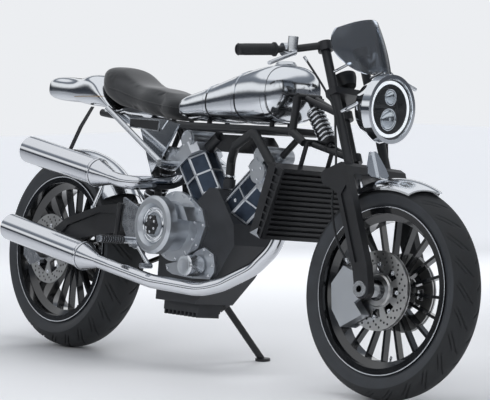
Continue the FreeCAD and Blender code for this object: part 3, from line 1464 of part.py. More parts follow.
def build_headlamp():
    body = new_body("headlamp_shell")
    section = new_sketch(body, "headlamp_section", "XZ")
    r, glass = S.lamp_r, S.glass_r
    draw_outline(section, [
        (14, glass), (14, r - 2), (-14, r), (-20, r - 6), (-62, r - 24), (-86, 40), (-86, 0),
        (-83, 0), (-83, 38), (-60, r - 28), (-18, glass - 3), (6, glass - 3), (6, glass)])
    turn(body, "Revolution", section)
    body.Placement = at(LAMP_X, 0, S.lamp_z)
    shell_back = STEER_FRAME.inverse().multVec(Vector(float(LAMP_X) - 50, 0, float(S.lamp_z) + 6))
    arm_high = shell_back.z
    arms, supports = [], []
    for side in (-1, 1):
        y = side * float(S.column_y)
        arms.append(rod(f"headlamp_arm_{side + 1}", steer_point(arm_high, S.column_x + S.column_r, y),
                        steer_point(arm_high, shell_back.x, y), 7))
        screen_end = STEER_FRAME.inverse().multVec(Vector(float(LAMP_X) - 88, y, float(S.lamp_z) + 126))
        root = steer_point(screen_end.z, S.column_x + S.column_r, y)
        reach = screen_end.x - float(S.column_x + S.column_r)
        supports.append(Part.makeCylinder(4, reach, root, STEER_FRAME.Rotation.multVec(X_AXIS)))
    supports.append(Part.makeCylinder(6, 29, Vector(float(LAMP_X) - 30, 0, float(S.lamp_z) + 89), Z_AXIS))
    ahead_of_screen = screen_face.translated(SCREEN_BACK).extrude(Vector(80, 0, 0))
    for number, support in enumerate(supports):
        arms.append(shaped(f"screen_support_{number}", support.cut(ahead_of_screen)))
    return fused("headlamp_whole", [body] + arms)


keep(build_headlamp(), "headlight", steered=True)


def build_lens():
    body = new_body("lens_glass")
    section = new_sketch(body, "lens_section", "XZ")
    r = S.glass_r
    draw_outline(section, [(6, 0), (6, r), (11, r), (17, 0, 800)])
    turn(body, "Revolution", section)
    return body


keep(build_lens(), "headlight_lens", at(LAMP_X, 0, S.lamp_z), steered=True)


def build_reflector():
    body = new_body("reflector_turned")
    section = new_sketch(body, "reflector_section", "XZ")
    r = S.glass_r - 3
    draw_outline(section, [(-40, 0), (-40, r - 8), (0, r), (-2, r - 2), (-38, r - 14), (-38, 0)])
    turn(body, "Revolution", section)
    for name, z, radius in (("high", 34, 24), ("low", -30, 32)):
        lamp = new_sketch(body, "projector_" + name, "YZ", -39)
        draw_circle(lamp, 0, z, radius)
        extrude(body, "Pad", lamp, 36)
    return body


keep(build_reflector(), "headlight_reflector", at(LAMP_X, 0, S.lamp_z), steered=True)


def build_front_caliper():
    body = new_body("front_caliper_cast")
    side_plate(body, "front_caliper_outline", [
        (-40, -62), (-128, -70), (-146, -10), (-128, 62), (-70, 96), (-40, 70), (-66, 0)], S.blade_in, 36)
    slot_out, slot_in = S.front_disc_y + 8, S.front_disc_y - S.disc_pitch - 8
    side_plate(body, "front_caliper_slot", [
        (60, -140), (-122, -140), (-122, 140), (60, 140)], slot_out, slot_in, "Pocket")
    side_plate(body, "front_caliper_lug", [
        (-66, -20), (-24, -12), (-24, 26), (12, 50), (12, 90), (-66, 60)], S.blade_in, S.blade_in - 12)
    return pair("front_caliper_pair", body)


keep(build_front_caliper(), "front_calipers", STEER_FRAME * Placement(axle_local, Rotation()), steered=True)


def build_gauge():
    body = new_body("gauge_pod")
    section = new_sketch(body, "gauge_section", "XZ")
    draw_outline(section, [(-30, 0), (-30, 30), (-6, 40), (6, 42), (6, 37), (2, 37), (2, 0)])
    turn(body, "Revolution", section)
    body.Placement = Placement(steer_point(990, 22), Rotation(X_AXIS, Vector(-0.6, 0, 0.8)))
    foot = rod("gauge_foot", steer_point(S.bridge_low + 20, 28), steer_point(S.bridge_low + 64, 28), 9)
    return fused("gauge_whole", [body, foot])


keep(build_gauge(), "speedometer", steered=True)

# Side stand: its foot is flat on the ground of the leaning machine.

stand_pivot = Vector(float(S.stand_pivot_x), float(S.stand_pivot_y), float(S.stand_pivot_z))
foot_world = Vector(float(S.foot_x), float(S.foot_y), 0)
foot = PARKED.inverse().multVec(foot_world)
leg = (foot - stand_pivot).normalize()
folded = Vector(-0.97, 0.22, 0.02).normalize()
stand_axis = leg.cross(folded).normalize()


def build_stand():
    plate = doc.addObject("Part::Cylinder", "stand_foot_plate")
    plate.Radius = 24
    plate.Height = 8
    plate.Placement = PARKED.inverse() * Placement(foot_world, Rotation())
    tube = rod("stand_leg", stand_pivot + leg * 12, foot - leg * 7, 11)
    eye = rod("stand_eye", stand_pivot - stand_axis * 10, stand_pivot + stand_axis * 10, 19)
    hole = rod("stand_hole", stand_pivot - stand_axis * 40, stand_pivot + stand_axis * 40, 8)
    return cut("stand", fused("stand_solid", [plate, tube, eye]), hole)


keep(build_stand(), "side_stand")


def build_stand_bracket():
    pin = rod("stand_pin", stand_pivot - stand_axis * 20, stand_pivot + stand_axis * 16, 7.95)
    ear = rod("stand_ear", stand_pivot - stand_axis * 24, stand_pivot - stand_axis * 11, 17)
    x0 = S.stand_pivot_x
    top = S.crank_z - 245
    base = block("stand_base", (x0 - 24, 48, top - 22), (x0 + 18, 100, top))
    return fused("stand_bracket_whole", [base, ear, pin])


keep(build_stand_bracket(), "stand_bracket")

# The whole machine is moved so that the origin is under the middle of its outline.

doc.recompute()
bounds = FreeCAD.BoundBox()
for piece in nodes:
    bounds.add(piece.Shape.optimalBoundingBox(False, False))
centring = Placement(Vector(-bounds.Center.x, -bounds.Center.y, -bounds.ZMin), Rotation())
for piece in nodes:
    piece.Placement = centring * piece.Placement
doc.recompute()

for item in doc.Objects:
    if "Invalid" in item.State or "Error" in item.State:
        raise RuntimeError("not built: " + item.Name)
for piece in nodes:
    if piece.Shape.isNull() or not piece.Shape.isValid():
        raise RuntimeError("bad shape: " + piece.Label)

os.makedirs("parts", exist_ok=True)
for piece in nodes:
    piece.Shape.exportStep(f"parts/{piece.Label}.step")
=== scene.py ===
import json
import math
import bpy
import bmesh
from mathutils import Matrix, Vector
from mathutils.bvhtree import BVHTree


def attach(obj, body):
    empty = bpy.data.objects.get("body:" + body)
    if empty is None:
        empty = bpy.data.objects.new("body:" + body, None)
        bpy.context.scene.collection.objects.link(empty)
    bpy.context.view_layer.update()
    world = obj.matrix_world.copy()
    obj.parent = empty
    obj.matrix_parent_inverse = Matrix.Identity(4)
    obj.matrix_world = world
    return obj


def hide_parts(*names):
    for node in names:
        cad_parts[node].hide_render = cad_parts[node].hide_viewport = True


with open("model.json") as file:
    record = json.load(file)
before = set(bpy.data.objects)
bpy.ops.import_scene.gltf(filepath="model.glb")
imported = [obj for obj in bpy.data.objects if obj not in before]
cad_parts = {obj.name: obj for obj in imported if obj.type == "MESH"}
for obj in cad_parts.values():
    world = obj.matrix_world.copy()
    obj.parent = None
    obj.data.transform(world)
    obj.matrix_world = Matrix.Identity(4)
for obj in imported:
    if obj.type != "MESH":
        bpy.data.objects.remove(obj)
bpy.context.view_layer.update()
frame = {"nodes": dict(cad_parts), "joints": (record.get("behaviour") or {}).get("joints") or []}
cad = frame["nodes"]

# Tyres.
# Radial road tyres: black rubber cured in a mould, with swept grooves 4.5 mm deep in a round
# crown. The tread is matt and dark, and the sidewall a little smoother and greyer.

# Every piece is drawn in millimetres on the upright machine, X forward, Y left, Z up from the
# ground under the rear axle. The joints say how that machine leans and how far it is steered.

REAR_R, FRONT_R, RAKE = 324.5, 312.5, math.radians(23.4)
joint = {each["name"]: each for each in frame["joints"]}
steer_at = Vector(joint["steering_turn"]["pos_m"])
steer_line = Vector(joint["steering_turn"]["axis"]).normalized()
rear_axle = Vector(joint["rear_wheel_spin"]["pos_m"])
rear_line = Vector(joint["rear_wheel_spin"]["axis"]).normalized()
front_line = Vector(joint["front_wheel_spin"]["axis"]).normalized()
square = rear_line.cross(steer_line)
ahead = square * math.cos(RAKE) - steer_line * math.sin(RAKE)
upward = square * math.sin(RAKE) + steer_line * math.cos(RAKE)
steer_angle = math.atan2(steer_line.dot(rear_line.cross(front_line)), rear_line.dot(front_line))
steer_turn = (Matrix.Translation(steer_at) @ Matrix.Rotation(steer_angle, 4, steer_line)
              @ Matrix.Translation(-steer_at))
MACHINE = (Matrix.Translation(rear_axle - upward * (REAR_R / 1000))
           @ Matrix((ahead, rear_line, upward)).transposed().to_4x4() @ Matrix.Scale(0.001, 4))
STEERED = steer_turn @ MACHINE
REAR_WHEEL = MACHINE @ Matrix.Translation((0, 0, REAR_R))
FRONT_WHEEL = STEERED @ Matrix.Translation((1540, 0, FRONT_R))


def linear(hex_colour):
    """An sRGB hex value as linear colour."""
    parts = [int(hex_colour[i:i + 2], 16) / 255 for i in (1, 3, 5)]
    return (*[c / 12.92 if c <= 0.04045 else ((c + 0.055) / 1.055) ** 2.4 for c in parts], 1)


def add_node(tree, kind, sockets, to=None, tones=(), **settings):
    """Adds a node with its settings, links or sets its sockets, and links its first output on."""
    made = tree.nodes.new(kind)
    for name, value in settings.items():
        setattr(made, name, value)
    for name, value in sockets.items():
        if isinstance(value, bpy.types.Node):
            tree.links.new(value.outputs[0], made.inputs[name])
        elif isinstance(value, bpy.types.NodeSocket):
            tree.links.new(value, made.inputs[name])
        else:
            made.inputs[name].default_value = value
    for place, tone in zip((0, 1), tones):
        made.color_ramp.elements[place].color = linear(tone)
        made.color_ramp.elements[place].position = 0.3 + 0.4 * place
    if to:
        tree.links.new(made.outputs[0], to)
    return made


def new_material(name, colour, metallic, roughness, grain_mm, deep_mm, tilt, patch_mm, gloss,
                 detail=2.0, patch_detail=4.0, tones=(), **more):
    """A finish with a fine grain that tilts the light and larger patches in its gloss and tone.

    Both patterns are given by the size of their cells on the real piece.
    """
    material = bpy.data.materials.new(name)
    material.use_nodes = True
    tree = material.node_tree
    shader = tree.nodes["Principled BSDF"]
    shader.inputs["Base Color"].default_value = linear(colour)
    shader.inputs["Metallic"].default_value = metallic
    shader.inputs["Roughness"].default_value = roughness
    for socket, value in more.items():
        shader.inputs[socket.replace("_", " ")].default_value = value
    where = add_node(tree, "ShaderNodeTexCoord", {}).outputs["Object"]
    grain = add_node(tree, "ShaderNodeTexNoise",
                     {"Vector": where, "Scale": 1000 / grain_mm, "Detail": detail})
    add_node(tree, "ShaderNodeBump", {"Height": grain, "Distance": deep_mm / 1000, "Strength": tilt},
             shader.inputs["Normal"])
    patch = add_node(tree, "ShaderNodeTexNoise",
                     {"Vector": where, "Scale": 1000 / patch_mm, "Detail": patch_detail})
    add_node(tree, "ShaderNodeMapRange", {"Value": patch, "To Min": gloss[0], "To Max": gloss[1]},
             shader.inputs["Roughness"])
    if tones:
        add_node(tree, "ShaderNodeValToRGB", {"Fac": patch}, shader.inputs["Base Color"], tones)
    return material


def piece(name, shape, matrix, material, body, smooth=True):
    """A new piece from points in millimetres, moved onto the parked machine."""
    vertices, faces = shape
    mesh = bpy.data.meshes.new(name)
    mesh.from_pydata([matrix @ Vector(v) for v in vertices], [], faces)
    mesh.update()
    fill = bmesh.new()
    fill.from_mesh(mesh)
    bmesh.ops.recalc_face_normals(fill, faces=fill.faces)
    fill.to_mesh(mesh)
    fill.free()
    for polygon in mesh.polygons:
        polygon.use_smooth = smooth
    for each in material if isinstance(material, tuple) else (material,):
        mesh.materials.append(each)
    obj = bpy.data.objects.new(name, mesh)
    bpy.context.scene.collection.objects.link(obj)
    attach(obj, body)
    return obj


def arc(start, end, radius, steps):
    """Points of an arc between two profile points."""
    a, b = Vector(start), Vector(end)
    chord = b - a
    left = Vector((-chord.y, chord.x)).normalized()
    centre = (a + b) / 2 - left * math.sqrt(max(radius ** 2 - (chord.length / 2) ** 2, 0))
    begin = math.atan2(a.y - centre.y, a.x - centre.x)
    sweep = (math.atan2(b.y - centre.y, b.x - centre.x) - begin + math.pi) % (2 * math.pi) - math.pi
    return [(centre.x + radius * math.cos(begin + sweep * i / steps),
             centre.y + radius * math.sin(begin + sweep * i / steps)) for i in range(steps + 1)]


# Vulcanised tread rubber, scuffed by the road to a dead matt black. Its pores of about 0.3 mm are
# drawn at 1.5 mm, so that they show.
tread_rubber = new_material("tread_rubber", "#1e1f21", metallic=0.0, roughness=0.7, grain_mm=1.538,
                            deep_mm=0.12, tilt=0.5, detail=3.0, patch_mm=33.33, gloss=(0.5, 0.9),
                            tones=("#191a1c", "#252729"))

# The sidewall leaves its mould smoother, and shows a soft grey sheen with faint moulding waves.
sidewall_rubber = new_material("sidewall_rubber", "#2a2c30", metallic=0.0, roughness=0.48, grain_mm=3.333,
                               deep_mm=0.08, tilt=0.4, patch_mm=71.4, gloss=(0.34, 0.62),
                               tones=("#26282b", "#303337"))

# A groove's place within the repeat, its side, and where it starts and ends across the crown.
GROOVES = ((0.12, 1, 0.10, 0.86), (0.37, 1, 0.48, 0.94), (0.62, -1, 0.10, 0.86), (0.87, -1, 0.48, 0.94))
GROOVE_DEEP, GROOVE_HALF, RUN_IN, RUN_OUT = 4.5, 0.055, 0.08, 0.12
SWEEP, SWEEP_POWER = 1.15, 1.6
BEAD_R, WALL_R, CROWN_ROWS, WALL_ROWS = 244, 62, 52, 9


def dress_tyre(name, node, matrix, body, radius, half, crown_r, bead, repeats):
    """The CAD tyre's own outline with the grooves pressed into its crown."""
    edge = half - 3
    edge_r = radius - crown_r + math.sqrt(crown_r ** 2 - edge ** 2)
    tread = arc((-edge, edge_r), (edge, edge_r), crown_r, CROWN_ROWS)
    wall = arc((edge, edge_r), (bead, BEAD_R), WALL_R, WALL_ROWS)[1:]
    inner = [(bead - 2, BEAD_R - 6), (bead - 14, BEAD_R - 4),
             (-bead + 14, BEAD_R - 4), (-bead + 2, BEAD_R - 6)]
    profile = tread + wall + inner + [(-y, r) for y, r in reversed(wall)]
    lines = sorted({round((c + w) % 1, 4) for c, *_ in GROOVES for w in
                    (-GROOVE_HALF, -GROOVE_HALF * 0.55, GROOVE_HALF * 0.55, GROOVE_HALF, 0.125)})
    columns = [(i + line) / repeats for i in range(repeats) for line in lines]
    vertices, faces, kinds = [], [], []
    for share in columns:
        within = share * repeats % 1
        for row, (across, out) in enumerate(profile):
            reach = across / edge if row <= CROWN_ROWS else 1.0
            angle = 2 * math.pi * (share - SWEEP * min(abs(reach), 1) ** SWEEP_POWER / repeats)
            if row <= CROWN_ROWS:
                for centre, side, start, end in GROOVES:
                    off, run = abs((within - centre + 0.5) % 1 - 0.5), reach * side
                    if off < GROOVE_HALF * 0.7 and start < run < end:
                        out -= GROOVE_DEEP * min(1, (run - start) / RUN_IN, (end - run) / RUN_OUT)
            vertices.append((out * math.sin(angle), across, out * math.cos(angle)))
    rows = len(profile)
    for i in range(len(columns)):
        here, there = i * rows, (i + 1) % len(columns) * rows
        for j in range(rows):
            k = (j + 1) % rows
            faces.append((here + j, here + k, there + k, there + j))
            kinds.append(0 if j < CROWN_ROWS else 1)
    tyre = piece(name, (vertices, faces), matrix, (tread_rubber, sidewall_rubber), body)
    tyre.data.polygons.foreach_set("material_index", kinds)
    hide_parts(node)


dress_tyre("rear_tyre_grooved", "rear_tyre", REAR_WHEEL, "rear_wheel", REAR_R, 80, 88, 65, 26)
dress_tyre("front_tyre_grooved", "front_tyre", FRONT_WHEEL, "front_wheel", FRONT_R, 60, 66, 45, 26)

# Wheels.
# Cast aluminium in gloss black enamel. The lips of the rims are skimmed bright in a lathe, which
# draws the thin light ring inside each tyre, and a chromed valve stands in the well.

# Baked enamel under clear lacquer: deep black with sharp highlights, and an orange peel of 9 mm.
gloss_enamel = new_material("gloss_enamel", "#0b0c0e", metallic=0.0, roughness=0.16, grain_mm=9.09,
                            deep_mm=0.06, tilt=0.3, patch_mm=55.56, gloss=(0.08, 0.26), Coat_Weight=1.0,
                            Coat_Roughness=0.04)

# Turned aluminium: bright, with a slight haze. Tool marks of 0.2 mm are drawn at 1.1 mm.
turned_aluminium = new_material("turned_aluminium", "#d6d9dd", metallic=1.0, roughness=0.22, grain_mm=1.111,
                                deep_mm=0.03, tilt=0.4, patch_mm=25, gloss=(0.12, 0.34), patch_detail=3.0)

# Chrome plate over polished metal: a mirror, with waves of 60 mm left by the polishing wheel.
chrome_plate = new_material("chrome_plate", "#e2e5e9", metallic=1.0, roughness=0.05, grain_mm=62.5,
                            deep_mm=0.1, tilt=0.15, detail=1.0, patch_mm=111.1, gloss=(0.02, 0.09))


def coat(names, *materials):
    """Gives CAD nodes their finish."""
    for name in names:
        mesh = cad[name].data
        mesh.materials.clear()
        for material in materials:
            mesh.materials.append(material)


def turned(profile, steps=24, closed=True):
    """A profile of points along Z and out from it, turned round Z."""
    vertices, faces, count = [], [], len(profile)
    for i in range(steps):
        c, s = math.cos(2 * math.pi * i / steps), math.sin(2 * math.pi * i / steps)
        vertices += [(out * c, out * s, high) for high, out in profile]
    for i in range(steps):
        here, there = i * count, (i + 1) % steps * count
        for j in range(count if closed else count - 1):
            k = (j + 1) % count
            faces.append((here + j, here + k, there + k, there + j))
    return vertices, faces


def facing(point, axis):
    """Where a turned shape stands: its Z along an axis, its foot on a point."""
    return Matrix.Translation(point) @ Vector(axis).to_track_quat("Z", "Y").to_matrix().to_4x4()


def gathered(shapes):
    """Many shapes with their places as one."""
    vertices, faces = [], []
    for (points, polygons), place in shapes:
        start = len(vertices)
        vertices += [tuple(place @ Vector(p)) for p in points]
        faces += [tuple(start + i for i in polygon) for polygon in polygons]
    return vertices, faces


REAR_LIP_Y, FRONT_LIP_Y, WELL_R, VALVE_Y = 71, 51, 221, 22

coat(("rear_rim", "front_rim"), gloss_enamel)
for name, matrix, reach in (("rear", REAR_WHEEL, REAR_LIP_Y), ("front", FRONT_WHEEL, FRONT_LIP_Y)):
    lip = turned([(0.0, 239.6), (0.0, 243.2), (0.9, 242.8), (0.9, 240.2)], 96)
    lips = gathered([(lip, facing((0, side * reach, 0), (0, side, 0))) for side in (-1, 1)])
    piece(name + "_rim_lips", lips, matrix, turned_aluminium, name + "_wheel")
    valve = turned([(0, 0), (0, 5), (4, 5), (5, 3.2), (26, 3.2), (27, 4), (36, 4), (37, 0)], 12)
    stem = gathered([(valve, facing((0, VALVE_Y, -WELL_R), (0, 0.2, 1)))])
    piece(name + "_valve", stem, matrix, chrome_plate, name + "_wheel")

# Brake discs, sprockets and chain.
# Stainless discs ground in circles, drilled, and held to their carriers by turned bobbins. The
# sprockets and the chain are darker, oiled steel.

# Ground stainless steel: a grey, broad sheen. Grinding marks of 0.1 mm are drawn at 0.8 mm.
ground_steel = new_material("ground_steel", "#c4c4c3", metallic=1.0, roughness=0.32, grain_mm=0.833,
                            deep_mm=0.02, tilt=0.5, patch_mm=33.33, gloss=(0.26, 0.4), patch_detail=2.0)

# Hardened steel under old chain oil: dark grey, wet in places and dusty in others.
oiled_steel = new_material("oiled_steel", "#5d5c5b", metallic=1.0, roughness=0.36, grain_mm=2, deep_mm=0.1,
                           tilt=0.4, detail=3.0, patch_mm=28.57, gloss=(0.22, 0.5),
                           tones=("#4a4947", "#74726f"))

# Blackened steel: nearly black and half matt. The oxide's grain is drawn at 1.4 mm.
black_steel = new_material("black_steel", "#121315", metallic=0.0, roughness=0.4, grain_mm=1.429,
                           deep_mm=0.04, tilt=0.4, patch_mm=16.67, gloss=(0.28, 0.5), patch_detail=3.0)

coat(("front_discs", "rear_disc"), ground_steel)
coat(("rear_sprocket", "drive_sprocket", "chain", "rear_axle", "swingarm_pivot"), oiled_steel)
coat(("front_axle",), turned_aluminium)


def ring_of(shape, count, radius, y, side, start=0.0):
    """Copies of a turned shape round a wheel's axle, standing on a face at y."""
    places = []
    for i in range(count):
        angle = start + 2 * math.pi * i / count
        places.append((shape, facing((radius * math.cos(angle), y, radius * math.sin(angle)), (0, side, 0))))
    return places


FRONT_DISC_Y, REAR_DISC_Y, BOBBINS, BOBBINS_R = 63.5, -108.5, 8, 76
HOLES_IN_ROW, HOLE_ROWS_R, ROW_TURN = 20, (88, 97, 106), 0.105
bobbin = turned([(0.0, 0), (0.0, 6.5), (1.6, 6.5), (1.6, 3.4), (0.6, 3.0), (0.6, 0)], 12)
drilling = turned([(0.0, 0), (0.0, 3.6), (0.15, 3.4), (0.15, 0)], 10)
for name, matrix, disc_faces in (("front", FRONT_WHEEL, ((FRONT_DISC_Y, 1), (-FRONT_DISC_Y, -1))),
                                 ("rear", REAR_WHEEL, ((REAR_DISC_Y, -1),))):
    buttons, holes = [], []
    for y, side in disc_faces:
        buttons += ring_of(bobbin, BOBBINS, BOBBINS_R, y, side)
        for row, radius in enumerate(HOLE_ROWS_R):
            holes += ring_of(drilling, HOLES_IN_ROW, radius, y, side, row * ROW_TURN)
    piece(name + "_disc_bobbins", gathered(buttons), matrix, turned_aluminium, name + "_wheel")
    piece(name + "_disc_drilling", gathered(holes), matrix, black_steel, name + "_wheel")

# Swingarm, frame, fork and stand.
# Cast and welded parts in satin black powder coat, which has a fine orange-peel skin.

# Powder coat melted onto the metal: satin black, with its fine orange peel of 1.6 mm.
powder_coat = new_material("powder_coat", "#17181a", metallic=0.0, roughness=0.38, grain_mm=1.613,
                           deep_mm=0.08, tilt=0.4, detail=1.0, patch_mm=50, gloss=(0.28, 0.5),
                           tones=("#141517", "#1b1c1f"))

coat(("swingarm", "fork", "frame", "wishbones", "side_stand", "stand_bracket", "airbox", "radiator",
      "front_shock", "rear_shock", "speedometer"), powder_coat)

# Spring coils of both dampers.
# Chrome-vanadium wire wound round the black damper bodies and chromed, eight turns on each. A
# coil runs from its lower seat to its upper one, both measured from the damper's lower eye.

COIL_TURNS, TURN_STEPS, WIRE_R = 8, 16, 3.6


def tube(way, radius, sides=10):
    """A round tube along a line, with flat ends."""
    vertices, faces, count = [], [], len(way)
    side = None
    for i, point in enumerate(way):
        heading = (Vector(way[min(i + 1, count - 1)]) - Vector(way[max(i - 1, 0)])).normalized()
        if side is None:
            side = heading.orthogonal()
        side = (side - heading * side.dot(heading)).normalized()
        other = heading.cross(side)
        for j in range(sides):
            angle = 2 * math.pi * j / sides
            around = side * math.cos(angle) + other * math.sin(angle)
            vertices.append(tuple(Vector(point) + around * radius))
    for i in range(count - 1):
        here, there = i * sides, (i + 1) * sides
        for j in range(sides):
            k = (j + 1) % sides
            faces.append((here + j, here + k, there + k, there + j))
    faces += [tuple(range(sides)), tuple(range((count - 1) * sides, count * sides))]
    return vertices, faces


for name, low, high, coil_r, first, last in (
        ("rear", (391.2, 0, 502.0), (519.7, 0, 757.0), 33, 22, 192),
        ("front", (1240.8, 0, 708.9), (1118.0, 0, 862.0), 24, 28, 150)):
    heading = (Vector(high) - Vector(low)).normalized()
    across = Vector((0, 1, 0))
    out = heading.cross(across)
    wire = []
    for i in range(COIL_TURNS * TURN_STEPS + 1):
        angle, share = 2 * math.pi * i / TURN_STEPS, i / (COIL_TURNS * TURN_STEPS)
        middle = Vector(low) + heading * (first + (last - first) * share)
        wire.append(middle + (across * math.cos(angle) + out * math.sin(angle)) * coil_r)
    piece(name + "_spring", tube(wire, WIRE_R, 8), MACHINE, chrome_plate, "chassis")

# Crankcase.
# Cast aluminium. The middle of the case is painted dark; the clutch cover and its lower
# neighbour are bare, blasted with glass beads to a soft grey-white, and their drum is turned.

# Paint over a sand casting: flat dark grey, with the sand's grain of 2.4 mm under it.
cast_paint = new_material("cast_paint", "#24262a", metallic=0.0, roughness=0.5, grain_mm=2.38, deep_mm=0.2,
                          tilt=0.5, detail=4.0, patch_mm=45.45, gloss=(0.38, 0.62),
                          tones=("#1f2124", "#2a2c30"))

# Blasted aluminium: soft grey-white. The dimples of the beads, 0.1 mm, are drawn at 0.9 mm.
blasted_aluminium = new_material("blasted_aluminium", "#c6cacf", metallic=1.0, roughness=0.36,
                                 grain_mm=0.909, deep_mm=0.05, tilt=0.5, patch_mm=40, gloss=(0.28, 0.46))

coat(("engine_case", "oil_sump"), cast_paint)
coat(("clutch_cover", "alternator_cover", "cylinder_heads"), blasted_aluminium)


def prism(outline, low, high, axis="Y"):
    """A flat outline, given as X and Z, made solid from one height to another across it."""
    count = len(outline)
    vertices = [(a, low, b) for a, b in outline] + [(a, high, b) for a, b in outline]
    if axis == "Z":
        vertices = [(a, b, c) for a, c, b in vertices]
    faces = [tuple(range(count)), tuple(range(2 * count - 1, count - 1, -1))]
    faces += [(i, (i + 1) % count, count + (i + 1) % count, count + i) for i in range(count)]
    return vertices, faces


def bolt(radius, high):
    """A socket-head screw."""
    return turned([(0, 0), (0, radius), (high * 0.8, radius), (high, radius * 0.82), (high, radius * 0.46),
                   (high * 0.45, radius * 0.42), (high * 0.45, 0)], 12)


RIGHT, LEFT = (0, -1, 0), (0, 1, 0)
CLUTCH_X, CLUTCH_Z, FLANGE_BOLTS_R, FLANGE_Y = 640, 440, 102, -94
CRANK_X, CRANK_Z, LEFT_BOLTS_R, LEFT_Y = 790, 450, 93, 97
APRON_Y, COVER_IN, COVER_OUT = -92, -80.2, -90
lower_cover = [(604, 318), (612, 300), (640, 290), (740, 284), (828, 288), (846, 310), (846, 334), (836, 366),
               (790, 384), (752, 370), (728, 352), (700, 338), (640, 326)]
piece("lower_case_cover", prism(lower_cover, COVER_IN, COVER_OUT), MACHINE, blasted_aluminium, "chassis",
      False)
screw = bolt(5, 4.5)
screws = [(screw, facing((x, COVER_OUT, z), RIGHT)) for x, z in
          ((618, 308), (690, 296), (744, 292), (822, 298), (838, 330), (826, 362), (792, 376))]
for i in range(11):
    angle = math.radians(70 + 30 * i)
    x, z = CLUTCH_X + FLANGE_BOLTS_R * math.cos(angle), CLUTCH_Z + FLANGE_BOLTS_R * math.sin(angle)
    screws.append((screw, facing((x, FLANGE_Y, z), RIGHT)))
for x, z in ((66, 88), (118, 58), (140, 12), (114, -52)):
    screws.append((screw, facing((CLUTCH_X + x, APRON_Y, CLUTCH_Z + z), RIGHT)))
for i in range(8):
    angle = math.radians(22.5 + 45 * i)
    x, z = CRANK_X + LEFT_BOLTS_R * math.cos(angle), CRANK_Z + LEFT_BOLTS_R * math.sin(angle)
    screws.append((screw, facing((x, LEFT_Y, z), LEFT)))
piece("case_screws", gathered(screws), MACHINE, chrome_plate, "chassis")

# Clutch centre.
# The drum's mouth is turned in bright steps. Inside it sits a black pressure plate with six
# silver spring screws round a large black centre nut.

CLUTCH = MACHINE @ Matrix.Translation((CLUTCH_X, 0, CLUTCH_Z))
MOUTH_Y, PLATE_Y, SPRINGS = -176, -186, 6
steps = turned([(0, 56.5), (3, 56.5), (3, 52), (1.5, 51), (1.5, 47), (3.5, 46), (3.5, 41), (0, 36)], 64)
piece("clutch_steps", gathered([(steps, facing((0, MOUTH_Y, 0), RIGHT))]), CLUTCH, chrome_plate, "chassis")
plate = turned([(0, 0), (0, 29), (1.5, 29.5), (4, 27), (4, 14), (9, 13), (11, 11), (11, 0)], 32)
nub = turned([(0, 0), (0, 7), (3, 6), (3, 0)], 10)
star = [(plate, facing((0, PLATE_Y, 0), RIGHT))] + ring_of(nub, SPRINGS, 27, PLATE_Y - 0.5, -1)
piece("clutch_plate", gathered(star), CLUTCH, black_steel, "chassis")
pins = ring_of(bolt(4.2, 4), SPRINGS, 21.5, PLATE_Y - 4, -1, 0.52)
piece("clutch_screws", gathered(pins), CLUTCH, chrome_plate, "chassis")

# Oil filter housing.
# A turned aluminium can that sticks out of the lower cover, closed by a plain blasted cap.

FILTER_END = (770, -151.9, 325)
coat(("oil_filter",), turned_aluminium)
cap = turned([(0, 0), (0, 31), (1.2, 31), (2, 29.5), (2, 26), (1.4, 25), (1.4, 0)], 40)
filter_cap = gathered([(cap, facing(FILTER_END, RIGHT))])
piece("filter_cap", filter_cap, MACHINE, blasted_aluminium, "chassis")

# Cylinders and heads.
# Each barrel is an eight-sided casting, anodised blue-grey in its sunk panels and milled bright
# along its ribs. The heads are blasted, and round covers with three screws close the cam boxes.

# Anodised aluminium, dyed blue-grey: dark, with metal's highlights. Its etch is drawn at 1.1 mm.
blue_anodise = new_material("blue_anodise", "#333c49", metallic=0.85, roughness=0.34, grain_mm=1.111,
                            deep_mm=0.04, tilt=0.4, patch_mm=35.7, gloss=(0.26, 0.42), patch_detail=3.0,
                            tones=("#2d3541", "#3a4452"))

BANKS = ((50, -8), (-38, -16))
PANEL_X, PANEL_Y, CORNER_X, CORNER_Y = 60, 57, 45, 42
BARREL_LOW, BARREL_HIGH, BAND_UP = 95, 245, 174
CAM_UP, CAM_FACE, TIMING_UP, TIMING_FACE, COVER_BOLTS_R = 300, 60, 274, 72, 21
RIB_X, RIB_HALF, RIB_LOW, RIB_HIGH, BAND_HALF = 25.6, 2.4, 102, 242, 3
SLANT = math.sqrt(0.5)


def bank_place(degrees, offset):
    """A cylinder's own axes: Z runs up its bore from the crankshaft."""
    return Matrix.Translation((CRANK_X, offset, CRANK_Z)) @ Matrix.Rotation(math.radians(degrees), 4, "Y")


def faces_where(node, test):
    """Gives the second finish to faces whose middle and normal, on the upright machine, pass a test."""
    obj = cad[node]
    home = MACHINE.inverted() @ obj.matrix_world
    for polygon in obj.data.polygons:
        found = test(home @ polygon.center, (home.to_3x3() @ polygon.normal).normalized())
        polygon.material_index = 1 if found else 0


def in_panel(point, normal):
    """Whether a face is one of a barrel's sunk panels or one of its four cut corners."""
    for degrees, offset in BANKS:
        local = bank_place(degrees, offset).inverted() @ point
        fore, out = abs(local.x), abs(local.y)
        if max(fore, out) < 75 and BARREL_LOW < local.z < BARREL_HIGH:
            if 0.9 < out / PANEL_Y < 1.02 and fore < 22 and abs(normal.y) > 0.9:
                return True
            if 0.9 < fore / PANEL_X < 1.02 and out < 20 and abs(normal.y) < 0.1:
                return True
            if 0.6 < abs(normal.y) < 0.8 and fore + out > CORNER_X + CORNER_Y - 3:
                return True
    return False


def rectangle(left, right, low, high):
    """The outline of a rectangle."""
    return [(left, low), (right, low), (right, high), (left, high)]


